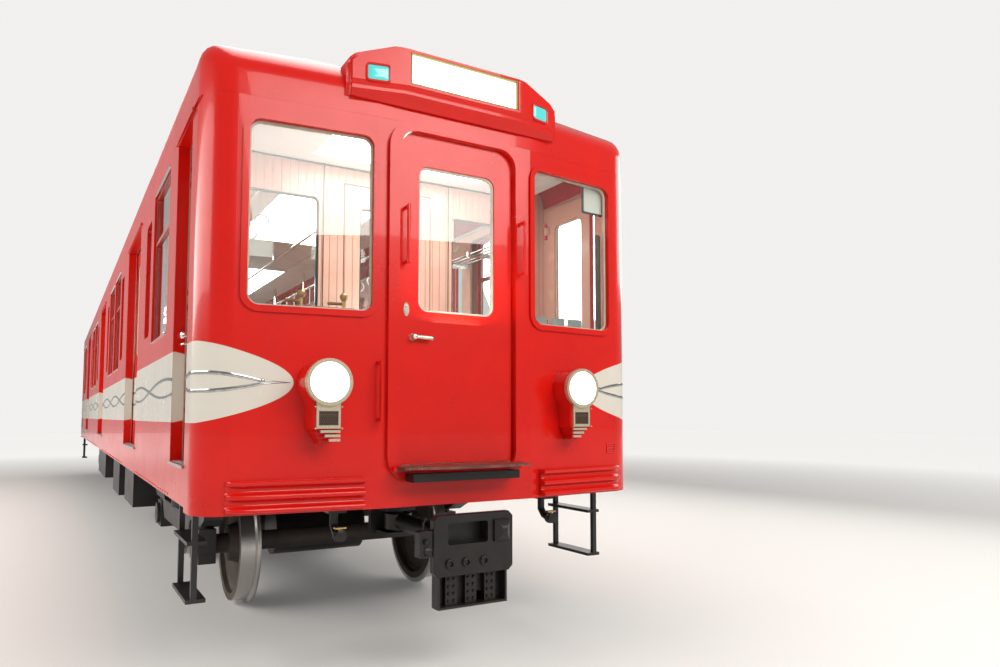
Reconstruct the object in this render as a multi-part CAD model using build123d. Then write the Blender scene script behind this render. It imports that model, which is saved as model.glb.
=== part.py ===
from build123d import *
from math import atan2, cos, radians, sin, tan
import os

# Double-ended subway car. X runs along the car, Y to its left, Z up.
# The origin is under the middle of the car, at the lowest point of the wheel flanges.
# All sizes are in millimetres.

# Body shell
BODY_LENGTH = 17500
BODY_WIDTH = 2790
SILL_Z = 939
END_BOTTOM_Z = 914
CANTRAIL_Z = 3060
CROWN_Z = 3523
SHOULDER_R = 300
END_SHOULDER_Z = 2950
END_SHOULDER_R = 260
END_CROWN_Z = 3330
DOME_LENGTH = 1250
SIDE_WALL = 70
END_WALL = 60
ROOF_SKIN = 60
FOLD_Y = 500
SWEEP_DEG = 6.6
CORNER_R = 190
END_DEPTH = 380
ROOF_PANELS = 3

# Floor and underframe
FLOOR_Z = 1138
FLOOR_THICKNESS = 100
SOLEBAR_WIDTH = 100
BOLSTER_LENGTH = 500
BEARER_WIDTH = 60
BEARER_DROP = 60
HEADSTOCK_LENGTH = 120
BEARERS = [500, 1500, 2500, 3500]
BRACKET_WIDTH = 260
CHEEK_WIDTH = 200
CHEEK = 30

# Doorways and doors
DOORWAY_PITCH = 5000
DOORWAY_WIDTH = 1200
DOORWAY_TOP_Z = 3021
CREW_DOOR_START = 410
CREW_DOOR_WIDTH = 540
LEAF_THICKNESS = 36
LEAF_GAP = 8
LEAF_OVERLAP = 40
MEETING_GAP = 5
LEAF_WINDOW_WIDTH = 400
LEAF_WINDOW_SILL_Z = 1996
LEAF_WINDOW_TOP_Z = 2880
LEAF_WINDOW_R = 60
DOOR_RAIL_Z = 3085
DOOR_RAIL_HEIGHT = 20
HANGER_WIDTH = 60
SEAT_GAP = 0.3
MOVING_GAP = 6
SWING_GAP = 10
END_DOOR_WIDTH = 736
END_DOOR_TOP_Z = 3010
END_DOOR_THICKNESS = 40
END_DOOR_RECESS = 12
END_DOOR_WINDOW_WIDTH = 494
END_DOOR_WINDOW_SILL_Z = 1996
END_DOOR_WINDOW_TOP_Z = 2834
END_DOORWAY_R = 110

# Windows
SIDE_WINDOW_SILL_Z = 1930
SIDE_WINDOW_TOP_Z = 3021
SIDE_WINDOW_R = 45
POCKET_WINDOW_SILL_Z = 2008
POCKET_WINDOW_TOP_Z = 2888
POCKET_WINDOW_START = 510
POCKET_WINDOW_WIDTH = 330
GLASS = 8
SASH_WIDTH = 28
SASH_DEPTH = 36
SASH_BAR_Z = 2660
END_WINDOW_INNER_Y = 525
END_WINDOW_OUTER_Y = 1173
END_WINDOW_SILL_Z = 1973
END_WINDOW_TOP_Z = 2940
END_WINDOW_R = 60
WINDOW_BEAD_WIDTH = 34
WINDOW_BEAD_PROUD = 14

# Inside the car
LINING = 20
LINING_TOP_Z = 3110
BULKHEAD_X = 7650
BULKHEAD = 40
CAB_DOOR_WIDTH = 640
CAB_DOOR_TOP_Z = 3000
CAB_DOOR_THICKNESS = 34
CEILING_Z = 3290
CEILING = 15
CEILING_WIDTH = 1900
LAMP_STRIP_WIDTH = 150
LAMP_STRIP_Y = 595
LAMP_STRIP_DROP = 35
LAMP_STRIP_END = 300
SEAT_DEPTH = 460
SEAT_HEIGHT = 430
SEAT_BASE = 60
CUSHION = 90
BACK_HEIGHT = 520
POLE_R = 17
RACK_Z = 2790
RACK_DEPTH = 260

# Running gear
FLANGE = 28
WHEEL_R = 430
WHEEL_BACK_Y = 680
WHEEL_WIDTH = 135
FLANGE_WIDTH = 32
AXLE_R = 72
JOURNAL_Y = 1040
BOGIE_CENTRES = 11000
WHEELBASE = 2200
SIDE_BEAM_Y = 990
SIDE_BEAM_WIDTH = 130
BOX_LENGTH = 250
BOX_HEIGHT = 250
BOX_WIDTH = 120
TRANSOM_LENGTH = 420
SPRING_R = 95
MOTOR_R = 205
MOTOR_LENGTH = 760
MOTOR_X = 590
PIVOT_R = 180
BOLSTER_Z = 905

# Couplers
COUPLER_Z = 718
COUPLER_REACH = 250
COUPLER_WIDTH = 490
COUPLER_HEIGHT = 326
COUPLER_DEPTH = 210
COUPLER_PIVOT_BACK = 850
COUPLER_PIN_R = 32
SHANK_R = 62
ELECTRIC_BOX_WIDTH = 425
ELECTRIC_BOX_HEIGHT = 172

# End fittings
SIGN_Z = 3200
SIGN_TOP_Z = 3480
SIGN_HALF_WIDTH = 675
SIGN_TOP_HALF_WIDTH = 430
SIGN_PROUD = 100
SIGN_DEPTH = 420
SIGN_FACE_HALF_WIDTH = 354
SIGN_FACE_LOW_Z = 3242
SIGN_FACE_HIGH_Z = 3428
MARKER_Y = 530
MARKER_Z = 3275
MARKER_WIDTH = 118
MARKER_HEIGHT = 84
LAMP_Y = 796
LAMP_Z = 1580
LAMP_GLASS_R = 102
LAMP_RIM_R = 120
LAMP_PROUD = 170
RIB_INNER_Y = 560
RIB_LOW_Z = 916
RIB_HEIGHT = 46
RIB_PITCH = 66
RIB_PROUD = 60
RIB_COUNT = 3
BAND_WIDTH = 62
BAND_PROUD = 26
PLATE_HALF_WIDTH = 395
PLATE_REACH = 225
PLATE_THICKNESS = 14
PLATE_BARREL_R = 14
HANDLE_R = 11
HANDLE_OUT = 55
HANDLE_ROOT = 2

SIGN_RECESS = 26
LAMP_METAL = 30
GRILLE_WIDTH = 124
GRILLE_LOW_Z = 1345
GRILLE_HIGH_Z = 1432
POD_LOW_Z = 1255
BAND_LOW_Z = 1030
HANDLE_LENGTH = 310
END_HANDLE_Z = 2418
LOW_HANDLE_Z = 1544
LOW_HANDLE_Y = 489
LEVER_Z = 1849
SILL_PLATE = 10
GUTTER_HEIGHT = 22
GUTTER_PROUD = 12
STEP_LOW_Z = 430
DESK_GAP = 100
DESK_DEPTH = 140
DESK_TOP_Z = 1960
DESK_SLOPE = 90
DESK_INNER_Y = 440
DESK_WALL_GAP = 105
DRIVER_SEAT_Y = 540
DRIVER_SEAT_WIDTH = 410
DRIVER_SEAT_DEPTH = 330
DRIVER_SEAT_BACK = 310
DRIVER_SEAT_HEIGHT = 430
DRIVER_PAN = 20
DRIVER_CUSHION = 80
DRIVER_BACK_HEIGHT = 450
DRIVER_PEDESTAL_R = 60
CREW_WINDOW_WIDTH = 340

# Hinges of the swinging doors
KNUCKLE_R = 10
KNUCKLE_LENGTH = 60
HINGE_HEIGHTS = [1400, 2100, 2850]

# Worked out from the sizes above
NOSE_X = BODY_LENGTH / 2
HALF_W = BODY_WIDTH / 2
WALL_INNER_Y = HALF_W - SIDE_WALL
LEAF_OUTER_Y = WALL_INNER_Y - LEAF_GAP
LEAF_INNER_Y = LEAF_OUTER_Y - LEAF_THICKNESS
LINING_OUTER_Y = LEAF_INNER_Y - LEAF_GAP
LINING_INNER_Y = LINING_OUTER_Y - LINING
END_X = NOSE_X - END_DEPTH
FLOOR_BOTTOM_Z = FLOOR_Z - FLOOR_THICKNESS
AXLE_Z = WHEEL_R + FLANGE
BOGIE_X = BOGIE_CENTRES / 2
CREW_X1 = NOSE_X - CREW_DOOR_START
CREW_X0 = CREW_X1 - CREW_DOOR_WIDTH
CREW_CENTRE = (CREW_X0 + CREW_X1) / 2
DOORWAYS = [-DOORWAY_PITCH, 0, DOORWAY_PITCH]
SWEEP = tan(radians(SWEEP_DEG))
PLATE_HINGE_X = NOSE_X + BAND_PROUD + PLATE_BARREL_R + MOVING_GAP
PLATE_HINGE_Z = FLOOR_Z - PLATE_BARREL_R
LAMP_SWEEP = (LAMP_Y - FOLD_Y) * SWEEP
CREW_AXIS = (CREW_X0 - 6, LEAF_INNER_Y - 8)
END_AXIS = (NOSE_X - END_WALL - 10, END_DOOR_WIDTH / 2 + 12)
CAB_AXIS = (BULKHEAD_X - 10, CAB_DOOR_WIDTH / 2 + 12)
# Big side windows, by the distances of their two edges from the middle of the car
SIDE_WINDOWS = [(1600, 2440), (2560, 3400), (6600, 7460)]


def block(x, y, z):
    """A box from three (low, high) pairs."""
    size = [pair[1] - pair[0] for pair in (x, y, z)]
    middle = [(pair[1] + pair[0]) / 2 for pair in (x, y, z)]
    return Pos(*middle) * Box(*size)


def mirrored(shape):
    """The same shape on the other side of the car."""
    return mirror(shape, about=Plane.XZ)


def turned(shape):
    """The same shape at the other end of the car."""
    return Rot(0, 0, 180) * shape


def both_sides(shapes):
    return [s for shape in shapes for s in (shape, mirrored(shape))]


def both_ends(shapes):
    return [s for shape in shapes for s in (shape, turned(shape))]


def rod(start, end, radius):
    """A round bar between two points."""
    direction = Vector(*end) - Vector(*start)
    plane = Plane(origin=start, z_dir=direction)
    return extrude(plane * Circle(radius), direction.length)


def side_panel(x, z, y, corner_r=0):
    """A plate parallel to the car's side, with rounded corners."""
    plane = Plane(origin=((x[0] + x[1]) / 2, y[0], (z[0] + z[1]) / 2), x_dir=(1, 0, 0), z_dir=(0, 1, 0))
    size = (x[1] - x[0], z[1] - z[0])
    face = RectangleRounded(*size, corner_r) if corner_r else Rectangle(*size)
    return extrude(plane * face, y[1] - y[0])


def end_panel(y, z, x, corner_r=0):
    """A plate parallel to the car's end, with rounded corners."""
    plane = Plane(origin=(x[0], (y[0] + y[1]) / 2, (z[0] + z[1]) / 2), x_dir=(0, 1, 0), z_dir=(1, 0, 0))
    size = (y[1] - y[0], z[1] - z[0])
    face = RectangleRounded(*size, corner_r) if corner_r else Rectangle(*size)
    return extrude(plane * face, x[1] - x[0])


def body_section(x, half_width, bottom, shoulder_z, shoulder_r, crown_z):
    """Cross-section of the body: flat sides, round shoulders and an arched crown, all tangent."""
    inner = half_width - shoulder_r
    rise = crown_z - shoulder_z
    crown_r = (inner**2 + rise**2 - shoulder_r**2) / (2 * (rise - shoulder_r))
    reach = crown_r / (crown_r - shoulder_r)
    join = (inner * reach, crown_z - crown_r + (crown_r - rise) * reach)
    half_turn = atan2(join[1] - shoulder_z, join[0] - inner) / 2
    middle = (inner + shoulder_r * cos(half_turn), shoulder_z + shoulder_r * sin(half_turn))
    outline = Line((half_width, bottom), (half_width, shoulder_z))
    outline += ThreePointArc((half_width, shoulder_z), middle, join)
    outline += ThreePointArc(join, (0, crown_z), (-join[0], join[1]))
    outline += ThreePointArc((-join[0], join[1]), (-middle[0], middle[1]), (-half_width, shoulder_z))
    outline += Line((-half_width, shoulder_z), (-half_width, bottom))
    outline += Line((-half_width, bottom), (half_width, bottom))
    plane = Plane(origin=(x, 0, 0), x_dir=(0, 1, 0), z_dir=(1, 0, 0))
    return plane * make_face(outline.edges())


def plan_outline(nose_x, half_width, corner_r):
    """The body seen from above: each end has a flat middle and two swept panels."""
    corner_x = nose_x - (half_width - FOLD_Y) * SWEEP
    quarter = [(nose_x, -FOLD_Y), (nose_x, FOLD_Y), (corner_x, half_width)]
    points = quarter + [(-x, -y) for x, y in quarter]
    points = [(corner_x, -half_width)] + points[:3] + [(-corner_x, half_width)] + [(-nose_x, FOLD_Y)]
    points += [(-nose_x, -FOLD_Y), (-corner_x, -half_width)]
    outline = Polygon(*points, align=None)
    corners = [v for v in outline.vertices() if abs(v.Y) > half_width - 1]
    return fillet(corners, corner_r)


def body_form(inset_side, inset_end, inset_roof, bottom):
    """The solid inside a skin of the given thickness."""
    half_width = HALF_W - inset_side
    nose_x = NOSE_X - inset_end
    dome_x = NOSE_X - DOME_LENGTH
    main = body_section(
        -dome_x, half_width, bottom, CANTRAIL_Z, SHOULDER_R - inset_side, CROWN_Z - inset_roof
    )
    form = extrude(main, 2 * dome_x, dir=(1, 0, 0))
    start = body_section(
        dome_x, half_width, bottom, CANTRAIL_Z, SHOULDER_R - inset_side, CROWN_Z - inset_roof
    )
    end = body_section(
        NOSE_X, half_width, bottom, END_SHOULDER_Z, END_SHOULDER_R - inset_side, END_CROWN_Z - inset_roof
    )
    dome = loft([start, end], ruled=True)
    form = form + dome + turned(dome)
    plan = plan_outline(nose_x, half_width, CORNER_R - inset_side)
    return form & (Pos(0, 0, bottom) * extrude(plan, CROWN_Z - bottom + 10))


def pocket_windows(centre):
    """The two narrow windows beside a doorway, as (low, high) pairs along the car."""
    near = DOORWAY_WIDTH / 2 + POCKET_WINDOW_START
    far = near + POCKET_WINDOW_WIDTH
    return [(centre + near, centre + far), (centre - far, centre - near)]


def all_side_windows():
    """Every window of one side: its edges along the car, its sill, top and corner."""
    rows = []
    for low, high in SIDE_WINDOWS:
        for edges in ((low, high), (-high, -low)):
            rows.append((edges, (SIDE_WINDOW_SILL_Z, SIDE_WINDOW_TOP_Z)))
    for centre in DOORWAYS:
        for edges in pocket_windows(centre):
            rows.append((edges, (POCKET_WINDOW_SILL_Z, POCKET_WINDOW_TOP_Z)))
    return rows


def side_wall(shell):
    """The left outer wall with its doorways and windows cut."""
    wall = shell & block((-END_X, END_X), (HALF_W - 400, HALF_W + 1), (SILL_Z, CANTRAIL_Z))
    through = (WALL_INNER_Y - 5, HALF_W + 5)
    for edges, heights in all_side_windows():
        wall -= side_panel(edges, heights, through, SIDE_WINDOW_R)
    for centre in DOORWAYS:
        edges = (centre - DOORWAY_WIDTH / 2, centre + DOORWAY_WIDTH / 2)
        wall -= side_panel(edges, (FLOOR_Z, DOORWAY_TOP_Z), through)
    for edges in ((CREW_X0, CREW_X1), (-CREW_X1, -CREW_X0)):
        wall -= side_panel(edges, (FLOOR_Z, DOORWAY_TOP_Z), through)
    return wall


def end_window_hole(grow, x):
    """The cut of the left front window, grown by a margin."""
    return end_panel(
        (END_WINDOW_INNER_Y - grow, END_WINDOW_OUTER_Y + grow),
        (END_WINDOW_SILL_Z - grow, END_WINDOW_TOP_Z + grow),
        x,
        END_WINDOW_R + grow,
    )


def end_doorway_hole(grow, x, bottom):
    """The arched doorway in the middle of the end, grown by a margin."""
    half = END_DOOR_WIDTH / 2 + SWING_GAP + grow
    top = END_DOOR_TOP_Z + MOVING_GAP + grow
    hole = end_panel((-half, half), (bottom, top), x, 0)
    corners = [e for e in hole.edges().filter_by(Axis.X) if e.center().Z > top - 1]
    return fillet(corners, END_DOORWAY_R + grow)


def end_wall(shell):
    """The end at +X with its doorway and two windows cut."""
    wall = shell & block((END_X, NOSE_X + 1), (-HALF_W - 1, HALF_W + 1), (END_BOTTOM_Z, CANTRAIL_Z))
    through = (END_X + 100, NOSE_X + 50)
    for hole in both_sides([swept(end_window_hole(0, through))]):
        wall -= hole
    return wall - end_doorway_hole(0, through, FLOOR_Z)


def roof(shell):
    """Roof panels between the domes, and a dome at each end."""
    y = (-HALF_W, HALF_W)
    z = (CANTRAIL_Z, CROWN_Z + 1)
    dome_x = NOSE_X - DOME_LENGTH
    length = 2 * dome_x / ROOF_PANELS
    pieces = []
    for n in range(ROOF_PANELS):
        low = -dome_x + n * length
        pieces.append(shell & block((low + SEAT_GAP / 2, low + length - SEAT_GAP / 2), y, z))
    dome = shell & block((dome_x + SEAT_GAP / 2, NOSE_X + 1), y, z)
    return pieces + both_ends([dome])


def swept(shape):
    """Turns a piece made square to the car so that it lies along the left swept panel."""
    return Pos(NOSE_X, FOLD_Y, 0) * Rot(0, 0, SWEEP_DEG) * Pos(-NOSE_X, -FOLD_Y, 0) * shape


def underframe():
    """Floor, solebars, cross bearers, bolsters, headstocks and coupler brackets."""
    inner_plan = plan_outline(NOSE_X - END_WALL, WALL_INNER_Y, CORNER_R - SIDE_WALL)
    pieces = [Pos(0, 0, FLOOR_BOTTOM_Z) * extrude(inner_plan, FLOOR_THICKNESS)]
    seat_z = FLOOR_BOTTOM_Z - SEAT_GAP
    solebar_y = (WALL_INNER_Y - SOLEBAR_WIDTH, WALL_INNER_Y)
    pieces += both_sides([block((-END_X, END_X), solebar_y, (SILL_Z, seat_z))])
    reach = WALL_INNER_Y - SOLEBAR_WIDTH - SEAT_GAP
    for at in BEARERS:
        bearer_x = (at - BEARER_WIDTH / 2, at + BEARER_WIDTH / 2)
        bearer = block(bearer_x, (-reach, reach), (FLOOR_BOTTOM_Z - BEARER_DROP, seat_z))
        pieces += both_ends([bearer])
    bolster_x = (BOGIE_X - BOLSTER_LENGTH / 2, BOGIE_X + BOLSTER_LENGTH / 2)
    headstock_x = (END_X - HEADSTOCK_LENGTH, END_X)
    bolster = block(bolster_x, (-reach, reach), (BOLSTER_Z, seat_z))
    headstock = block(headstock_x, (-reach, reach), (END_BOTTOM_Z, seat_z))
    return pieces + both_ends([bolster, headstock, coupler_bracket(seat_z)])


def coupler_bracket(top):
    """A clevis under the floor that holds the coupler's pin."""
    pivot_x = NOSE_X - COUPLER_PIVOT_BACK
    half_gap = SHANK_R + MOVING_GAP
    low_z = COUPLER_Z - half_gap - CHEEK
    high_z = COUPLER_Z + half_gap + CHEEK
    back = (pivot_x - CHEEK_WIDTH, pivot_x - CHEEK_WIDTH + 50)
    cheek_x = (back[0], pivot_x + 60)
    half = CHEEK_WIDTH / 2
    bracket = block(back, (-BRACKET_WIDTH / 2, BRACKET_WIDTH / 2), (low_z, top))
    for low in (low_z, COUPLER_Z + half_gap):
        bracket += block(cheek_x, (-half, half), (low, low + CHEEK))
    return bracket + rod((pivot_x, 0, low_z), (pivot_x, 0, high_z), COUPLER_PIN_R)


def coupler():
    """The coupler at +X: eye, shank, head with cone and funnel, and the electric box below."""
    pivot_x = NOSE_X - COUPLER_PIVOT_BACK
    face_x = NOSE_X + COUPLER_REACH
    head_x = face_x - COUPLER_DEPTH
    eye = Pos(pivot_x, 0, COUPLER_Z) * Cylinder(90, 2 * SHANK_R)
    shank = rod((pivot_x, 0, COUPLER_Z), (head_x + 20, 0, COUPLER_Z), SHANK_R)
    half_w = COUPLER_WIDTH / 2
    half_h = COUPLER_HEIGHT / 2
    head = end_panel((-half_w, half_w), (COUPLER_Z - half_h, COUPLER_Z + half_h), (head_x, face_x), 28)
    funnel = Plane(origin=(face_x, 110, COUPLER_Z + 10), z_dir=(-1, 0, 0)) * Circle(95)
    funnel_end = Plane(origin=(face_x - 150, 110, COUPLER_Z + 10), z_dir=(-1, 0, 0)) * Circle(40)
    head -= loft([funnel, funnel_end], ruled=True)
    box_top = COUPLER_Z - half_h
    half_box = ELECTRIC_BOX_WIDTH / 2
    box = block((head_x + 10, face_x - 10), (-half_box, half_box), (box_top - ELECTRIC_BOX_HEIGHT, box_top))
    box -= block((head_x + 60, face_x + 5), (-half_box + 12, half_box - 12), (box_top - ELECTRIC_BOX_HEIGHT + 12, box_top - 12))
    bore = Pos(pivot_x, 0, COUPLER_Z) * Cylinder(COUPLER_PIN_R + SEAT_GAP, 4 * SHANK_R)
    return eye + shank + head + box - bore


def wheel_profile():
    """Half-section of one wheel, radius against distance from the wheel's back."""
    return [
        (AXLE_R, 0),
        (130, 0),
        (150, 30),
        (340, 60),
        (WHEEL_R - 60, 45),
        (WHEEL_R - 60, 0),
        (WHEEL_R + FLANGE - 8, 0),
        (WHEEL_R + FLANGE, 12),
        (WHEEL_R + FLANGE - 6, FLANGE_WIDTH - 6),
        (WHEEL_R, FLANGE_WIDTH + 6),
        (WHEEL_R - 6, WHEEL_WIDTH),
        (WHEEL_R - 60, WHEEL_WIDTH),
        (WHEEL_R - 60, 100),
        (340, 84),
        (150, 80),
        (130, 150),
        (AXLE_R, 150),
    ]


def wheelset(x):
    """Two wheels on their axle, with journals that reach into the axle boxes."""
    plane = Plane(origin=(0, 0, 0), x_dir=(1, 0, 0), z_dir=(0, 0, 1))
    points = [(radius, WHEEL_BACK_Y + across) for radius, across in wheel_profile()]
    wheel = revolve(plane * Polygon(*points, align=None), Axis.Y)
    axle = rod((0, -JOURNAL_Y, 0), (0, JOURNAL_Y, 0), AXLE_R)
    return Pos(x, 0, AXLE_Z) * (wheel + mirrored(wheel) + axle)


def bogie_frame(x):
    """Welded frame: two shaped side beams, a transom, and the guides for the axle boxes."""
    half_base = WHEELBASE / 2
    low, high, top = AXLE_Z + 150, AXLE_Z + 260, AXLE_Z + 300
    points = [
        (-half_base - 340, high - 40),
        (-half_base - 200, low + 10),
        (-half_base + 260, low + 10),
        (-half_base + 420, low - 150),
        (half_base - 420, low - 150),
        (half_base - 260, low + 10),
        (half_base + 200, low + 10),
        (half_base + 340, high - 40),
        (half_base + 340, high),
        (half_base - 240, high),
        (half_base - 420, low + 20),
        (-half_base + 420, low + 20),
        (-half_base + 240, high),
        (-half_base - 340, high),
    ]
    inner_y = SIDE_BEAM_Y - SIDE_BEAM_WIDTH / 2
    plane = Plane(origin=(0, inner_y, 0), x_dir=(1, 0, 0), z_dir=(0, -1, 0))
    beam = extrude(plane * Polygon(*points, align=None), -SIDE_BEAM_WIDTH)
    half_transom = TRANSOM_LENGTH / 2
    transom = block((-half_transom, half_transom), (-inner_y, inner_y), (low - 150, low + 20))
    frame = beam + mirrored(beam) + transom
    return Pos(x, 0, 0) * frame


def bogie_gear(x):
    """Axle boxes, springs, bolster with its centre pivot, and the two motors."""
    pieces = []
    half_base = WHEELBASE / 2
    low = AXLE_Z + 150
    box_y = (SIDE_BEAM_Y - BOX_WIDTH / 2, SIDE_BEAM_Y + BOX_WIDTH / 2)
    for end in (-1, 1):
        at = end * half_base
        box = block((at - BOX_LENGTH / 2, at + BOX_LENGTH / 2), box_y, (AXLE_Z - BOX_HEIGHT / 2, AXLE_Z + BOX_HEIGHT / 2))
        box -= Pos(at, SIDE_BEAM_Y, AXLE_Z) * Rot(90, 0, 0) * Cylinder(AXLE_R + SEAT_GAP, BOX_WIDTH + 10)
        cap_plane = Plane(origin=(at, SIDE_BEAM_Y + BOX_WIDTH / 2, AXLE_Z), z_dir=(0, 1, 0))
        box += extrude(cap_plane * Circle(100), 30)
        spring = Pos(at, SIDE_BEAM_Y, 0) * rod((0, 0, AXLE_Z + BOX_HEIGHT / 2), (0, 0, low + 10), 55)
        pieces += both_sides([box + spring])
        motor_plane = Plane(origin=(end * MOTOR_X, -MOTOR_LENGTH / 2, AXLE_Z), z_dir=(0, 1, 0))
        motor = extrude(motor_plane * Circle(MOTOR_R), MOTOR_LENGTH)
        nose_x = sorted((end * TRANSOM_LENGTH / 2, end * (MOTOR_X - MOTOR_R / 2)))
        pieces.append(motor + block(nose_x, (-120, 120), (AXLE_Z + 20, AXLE_Z + 120)))
    bolster_low = BOLSTER_Z - 75
    bolster = block((-150, 150), (-SIDE_BEAM_Y - 90, SIDE_BEAM_Y + 90), (bolster_low, BOLSTER_Z - 15))
    bolster += rod((0, 0, BOLSTER_Z - 15), (0, 0, BOLSTER_Z - SEAT_GAP), PIVOT_R)
    for side in (-1, 1):
        at = side * SIDE_BEAM_Y
        bolster += rod((0, at, low + 20), (0, at, bolster_low), SPRING_R)
    pieces.append(bolster)
    return [Pos(x, 0, 0) * piece for piece in pieces]


def lug(axis, arm, heights):
    """A hinge eye whose sides run tangent into its arm."""
    x, y = arm
    middle = ((x[0] + x[1]) / 2, (y[0] + y[1]) / 2)
    outline = Pos(*axis) * Circle(KNUCKLE_R) + Pos(*middle) * Rectangle(abs(x[1] - x[0]), abs(y[1] - y[0]))
    return Pos(0, 0, heights[0]) * extrude(make_hull(outline.edges()), heights[1] - heights[0])


def knuckle(axis, z, arm):
    """A door's hinge eye on the given axis, with the arm that joins it to the door."""
    half = KNUCKLE_LENGTH / 2 - SEAT_GAP
    return lug(axis, arm, (z - half, z + half))


def hinge_holders(axis, z, arm):
    """The two fixed eyes above and below a door's hinge eye, with their arms to the wall."""
    heights = [(z + low * KNUCKLE_LENGTH / 2, z + high * KNUCKLE_LENGTH / 2) for low, high in ((-2, -1), (1, 2))]
    return [lug(axis, arm, pair) for pair in heights]


def door_leaf(centre, direction):
    """One sliding leaf on the left side, moving towards +X or -X to open."""
    near = MEETING_GAP / 2
    far = DOORWAY_WIDTH / 2 + LEAF_OVERLAP
    x = sorted((centre + direction * near, centre + direction * far))
    top = DOOR_RAIL_Z - 25
    leaf = side_panel(x, (FLOOR_Z + LEAF_GAP, top), (LEAF_INNER_Y, LEAF_OUTER_Y))
    window_middle = centre + direction * DOORWAY_WIDTH / 4
    window_x = (window_middle - LEAF_WINDOW_WIDTH / 2, window_middle + LEAF_WINDOW_WIDTH / 2)
    window_z = (LEAF_WINDOW_SILL_Z, LEAF_WINDOW_TOP_Z)
    leaf -= side_panel(window_x, window_z, (LEAF_INNER_Y - 5, LEAF_OUTER_Y + 5), LEAF_WINDOW_R)
    hanger_y = (LEAF_INNER_Y + 8, LEAF_OUTER_Y - 8)
    for along in (0.2, 0.8):
        at = x[0] + along * (x[1] - x[0])
        leaf += block((at - HANGER_WIDTH / 2, at + HANGER_WIDTH / 2), hanger_y, (top, DOOR_RAIL_Z - SEAT_GAP))
    return leaf


def door_rails():
    """Left side rails that carry the sliding leaves, held on the lining."""
    reach = DOORWAY_WIDTH + LEAF_OVERLAP + 20
    y = (LINING_OUTER_Y, LEAF_OUTER_Y - 4)
    z = (DOOR_RAIL_Z, DOOR_RAIL_Z + DOOR_RAIL_HEIGHT)
    return [block((centre - reach, centre + reach), y, z) for centre in DOORWAYS]


def crew_door():
    """The crew door on the left at +X, hinged at its rear edge."""
    x = (CREW_X0 + MOVING_GAP, CREW_X1 - MOVING_GAP)
    leaf = side_panel(x, (FLOOR_Z + LEAF_GAP, DOORWAY_TOP_Z - MOVING_GAP), (LEAF_INNER_Y, LEAF_OUTER_Y))
    half_window = CREW_WINDOW_WIDTH / 2
    window_x = (CREW_CENTRE - half_window, CREW_CENTRE + half_window)
    through = (LEAF_INNER_Y - 5, LEAF_OUTER_Y + 5)
    leaf -= side_panel(window_x, (SIDE_WINDOW_SILL_Z, LEAF_WINDOW_TOP_Z), through, LEAF_WINDOW_R)
    arm = ((CREW_AXIS[0], x[0] + 30), (CREW_AXIS[1] - 4, LEAF_INNER_Y))
    for z in HINGE_HEIGHTS:
        leaf += knuckle(CREW_AXIS, z, arm)
    return leaf


def end_door():
    """The door in the middle of the end at +X."""
    x = (NOSE_X - END_DOOR_RECESS - END_DOOR_THICKNESS, NOSE_X - END_DOOR_RECESS)
    half = END_DOOR_WIDTH / 2
    leaf = end_panel((-half, half), (FLOOR_Z + LEAF_GAP, END_DOOR_TOP_Z), x)
    corners = [e for e in leaf.edges().filter_by(Axis.X) if e.center().Z > END_DOOR_TOP_Z - 1]
    leaf = fillet(corners, END_DOORWAY_R - MOVING_GAP)
    half_window = END_DOOR_WINDOW_WIDTH / 2
    window_z = (END_DOOR_WINDOW_SILL_Z, END_DOOR_WINDOW_TOP_Z)
    leaf -= end_panel((-half_window, half_window), window_z, (x[0] - 5, x[1] + 5), LEAF_WINDOW_R)
    for z in HINGE_HEIGHTS:
        leaf += knuckle(END_AXIS, z, ((END_AXIS[0] - 4, END_AXIS[0] + 4), (half - 40, END_AXIS[1])))
        leaf += block((END_AXIS[0] - 4, x[0]), (half - 40, half), (z - 20, z + 20))
    grip_z = (END_HANDLE_Z - HANDLE_LENGTH / 2, END_HANDLE_Z + HANDLE_LENGTH / 2)
    leaf += grab_handle((x[1], -half + 35), grip_z)
    lever = rod((x[1] - 2, -half + 85, LEVER_Z), (x[1] + 40, -half + 85, LEVER_Z), 13)
    return leaf + lever + rod((x[1] + 33, -half + 78, LEVER_Z), (x[1] + 33, -half + 185, LEVER_Z - 6), 8)


def grab_handle(foot, z):
    """An upright D-shaped handle that stands out along +X from two feet."""
    x, y = foot
    bar = rod((x + HANDLE_OUT, y, z[0] - HANDLE_R), (x + HANDLE_OUT, y, z[1] + HANDLE_R), HANDLE_R)
    for height in z:
        bar += rod((x - HANDLE_ROOT, y, height), (x + HANDLE_OUT, y, height), HANDLE_R)
    return bar


def fall_plate():
    """The hinged step plate outside the end door, with a curved front edge."""
    hinge_x = PLATE_HINGE_X
    tip_x = NOSE_X + PLATE_REACH
    half = PLATE_HALF_WIDTH
    outline = Line((hinge_x, -half), (tip_x - 60, -half))
    outline += ThreePointArc((tip_x - 60, -half), (tip_x, 0), (tip_x - 60, half))
    outline += Line((tip_x - 60, half), (hinge_x, half)) + Line((hinge_x, half), (hinge_x, -half))
    plate = Pos(0, 0, FLOOR_Z - PLATE_THICKNESS) * extrude(make_face(outline.edges()), PLATE_THICKNESS)
    barrel = rod((hinge_x, -half, PLATE_HINGE_Z), (hinge_x, half, PLATE_HINGE_Z), PLATE_BARREL_R)
    return plate + barrel


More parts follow.
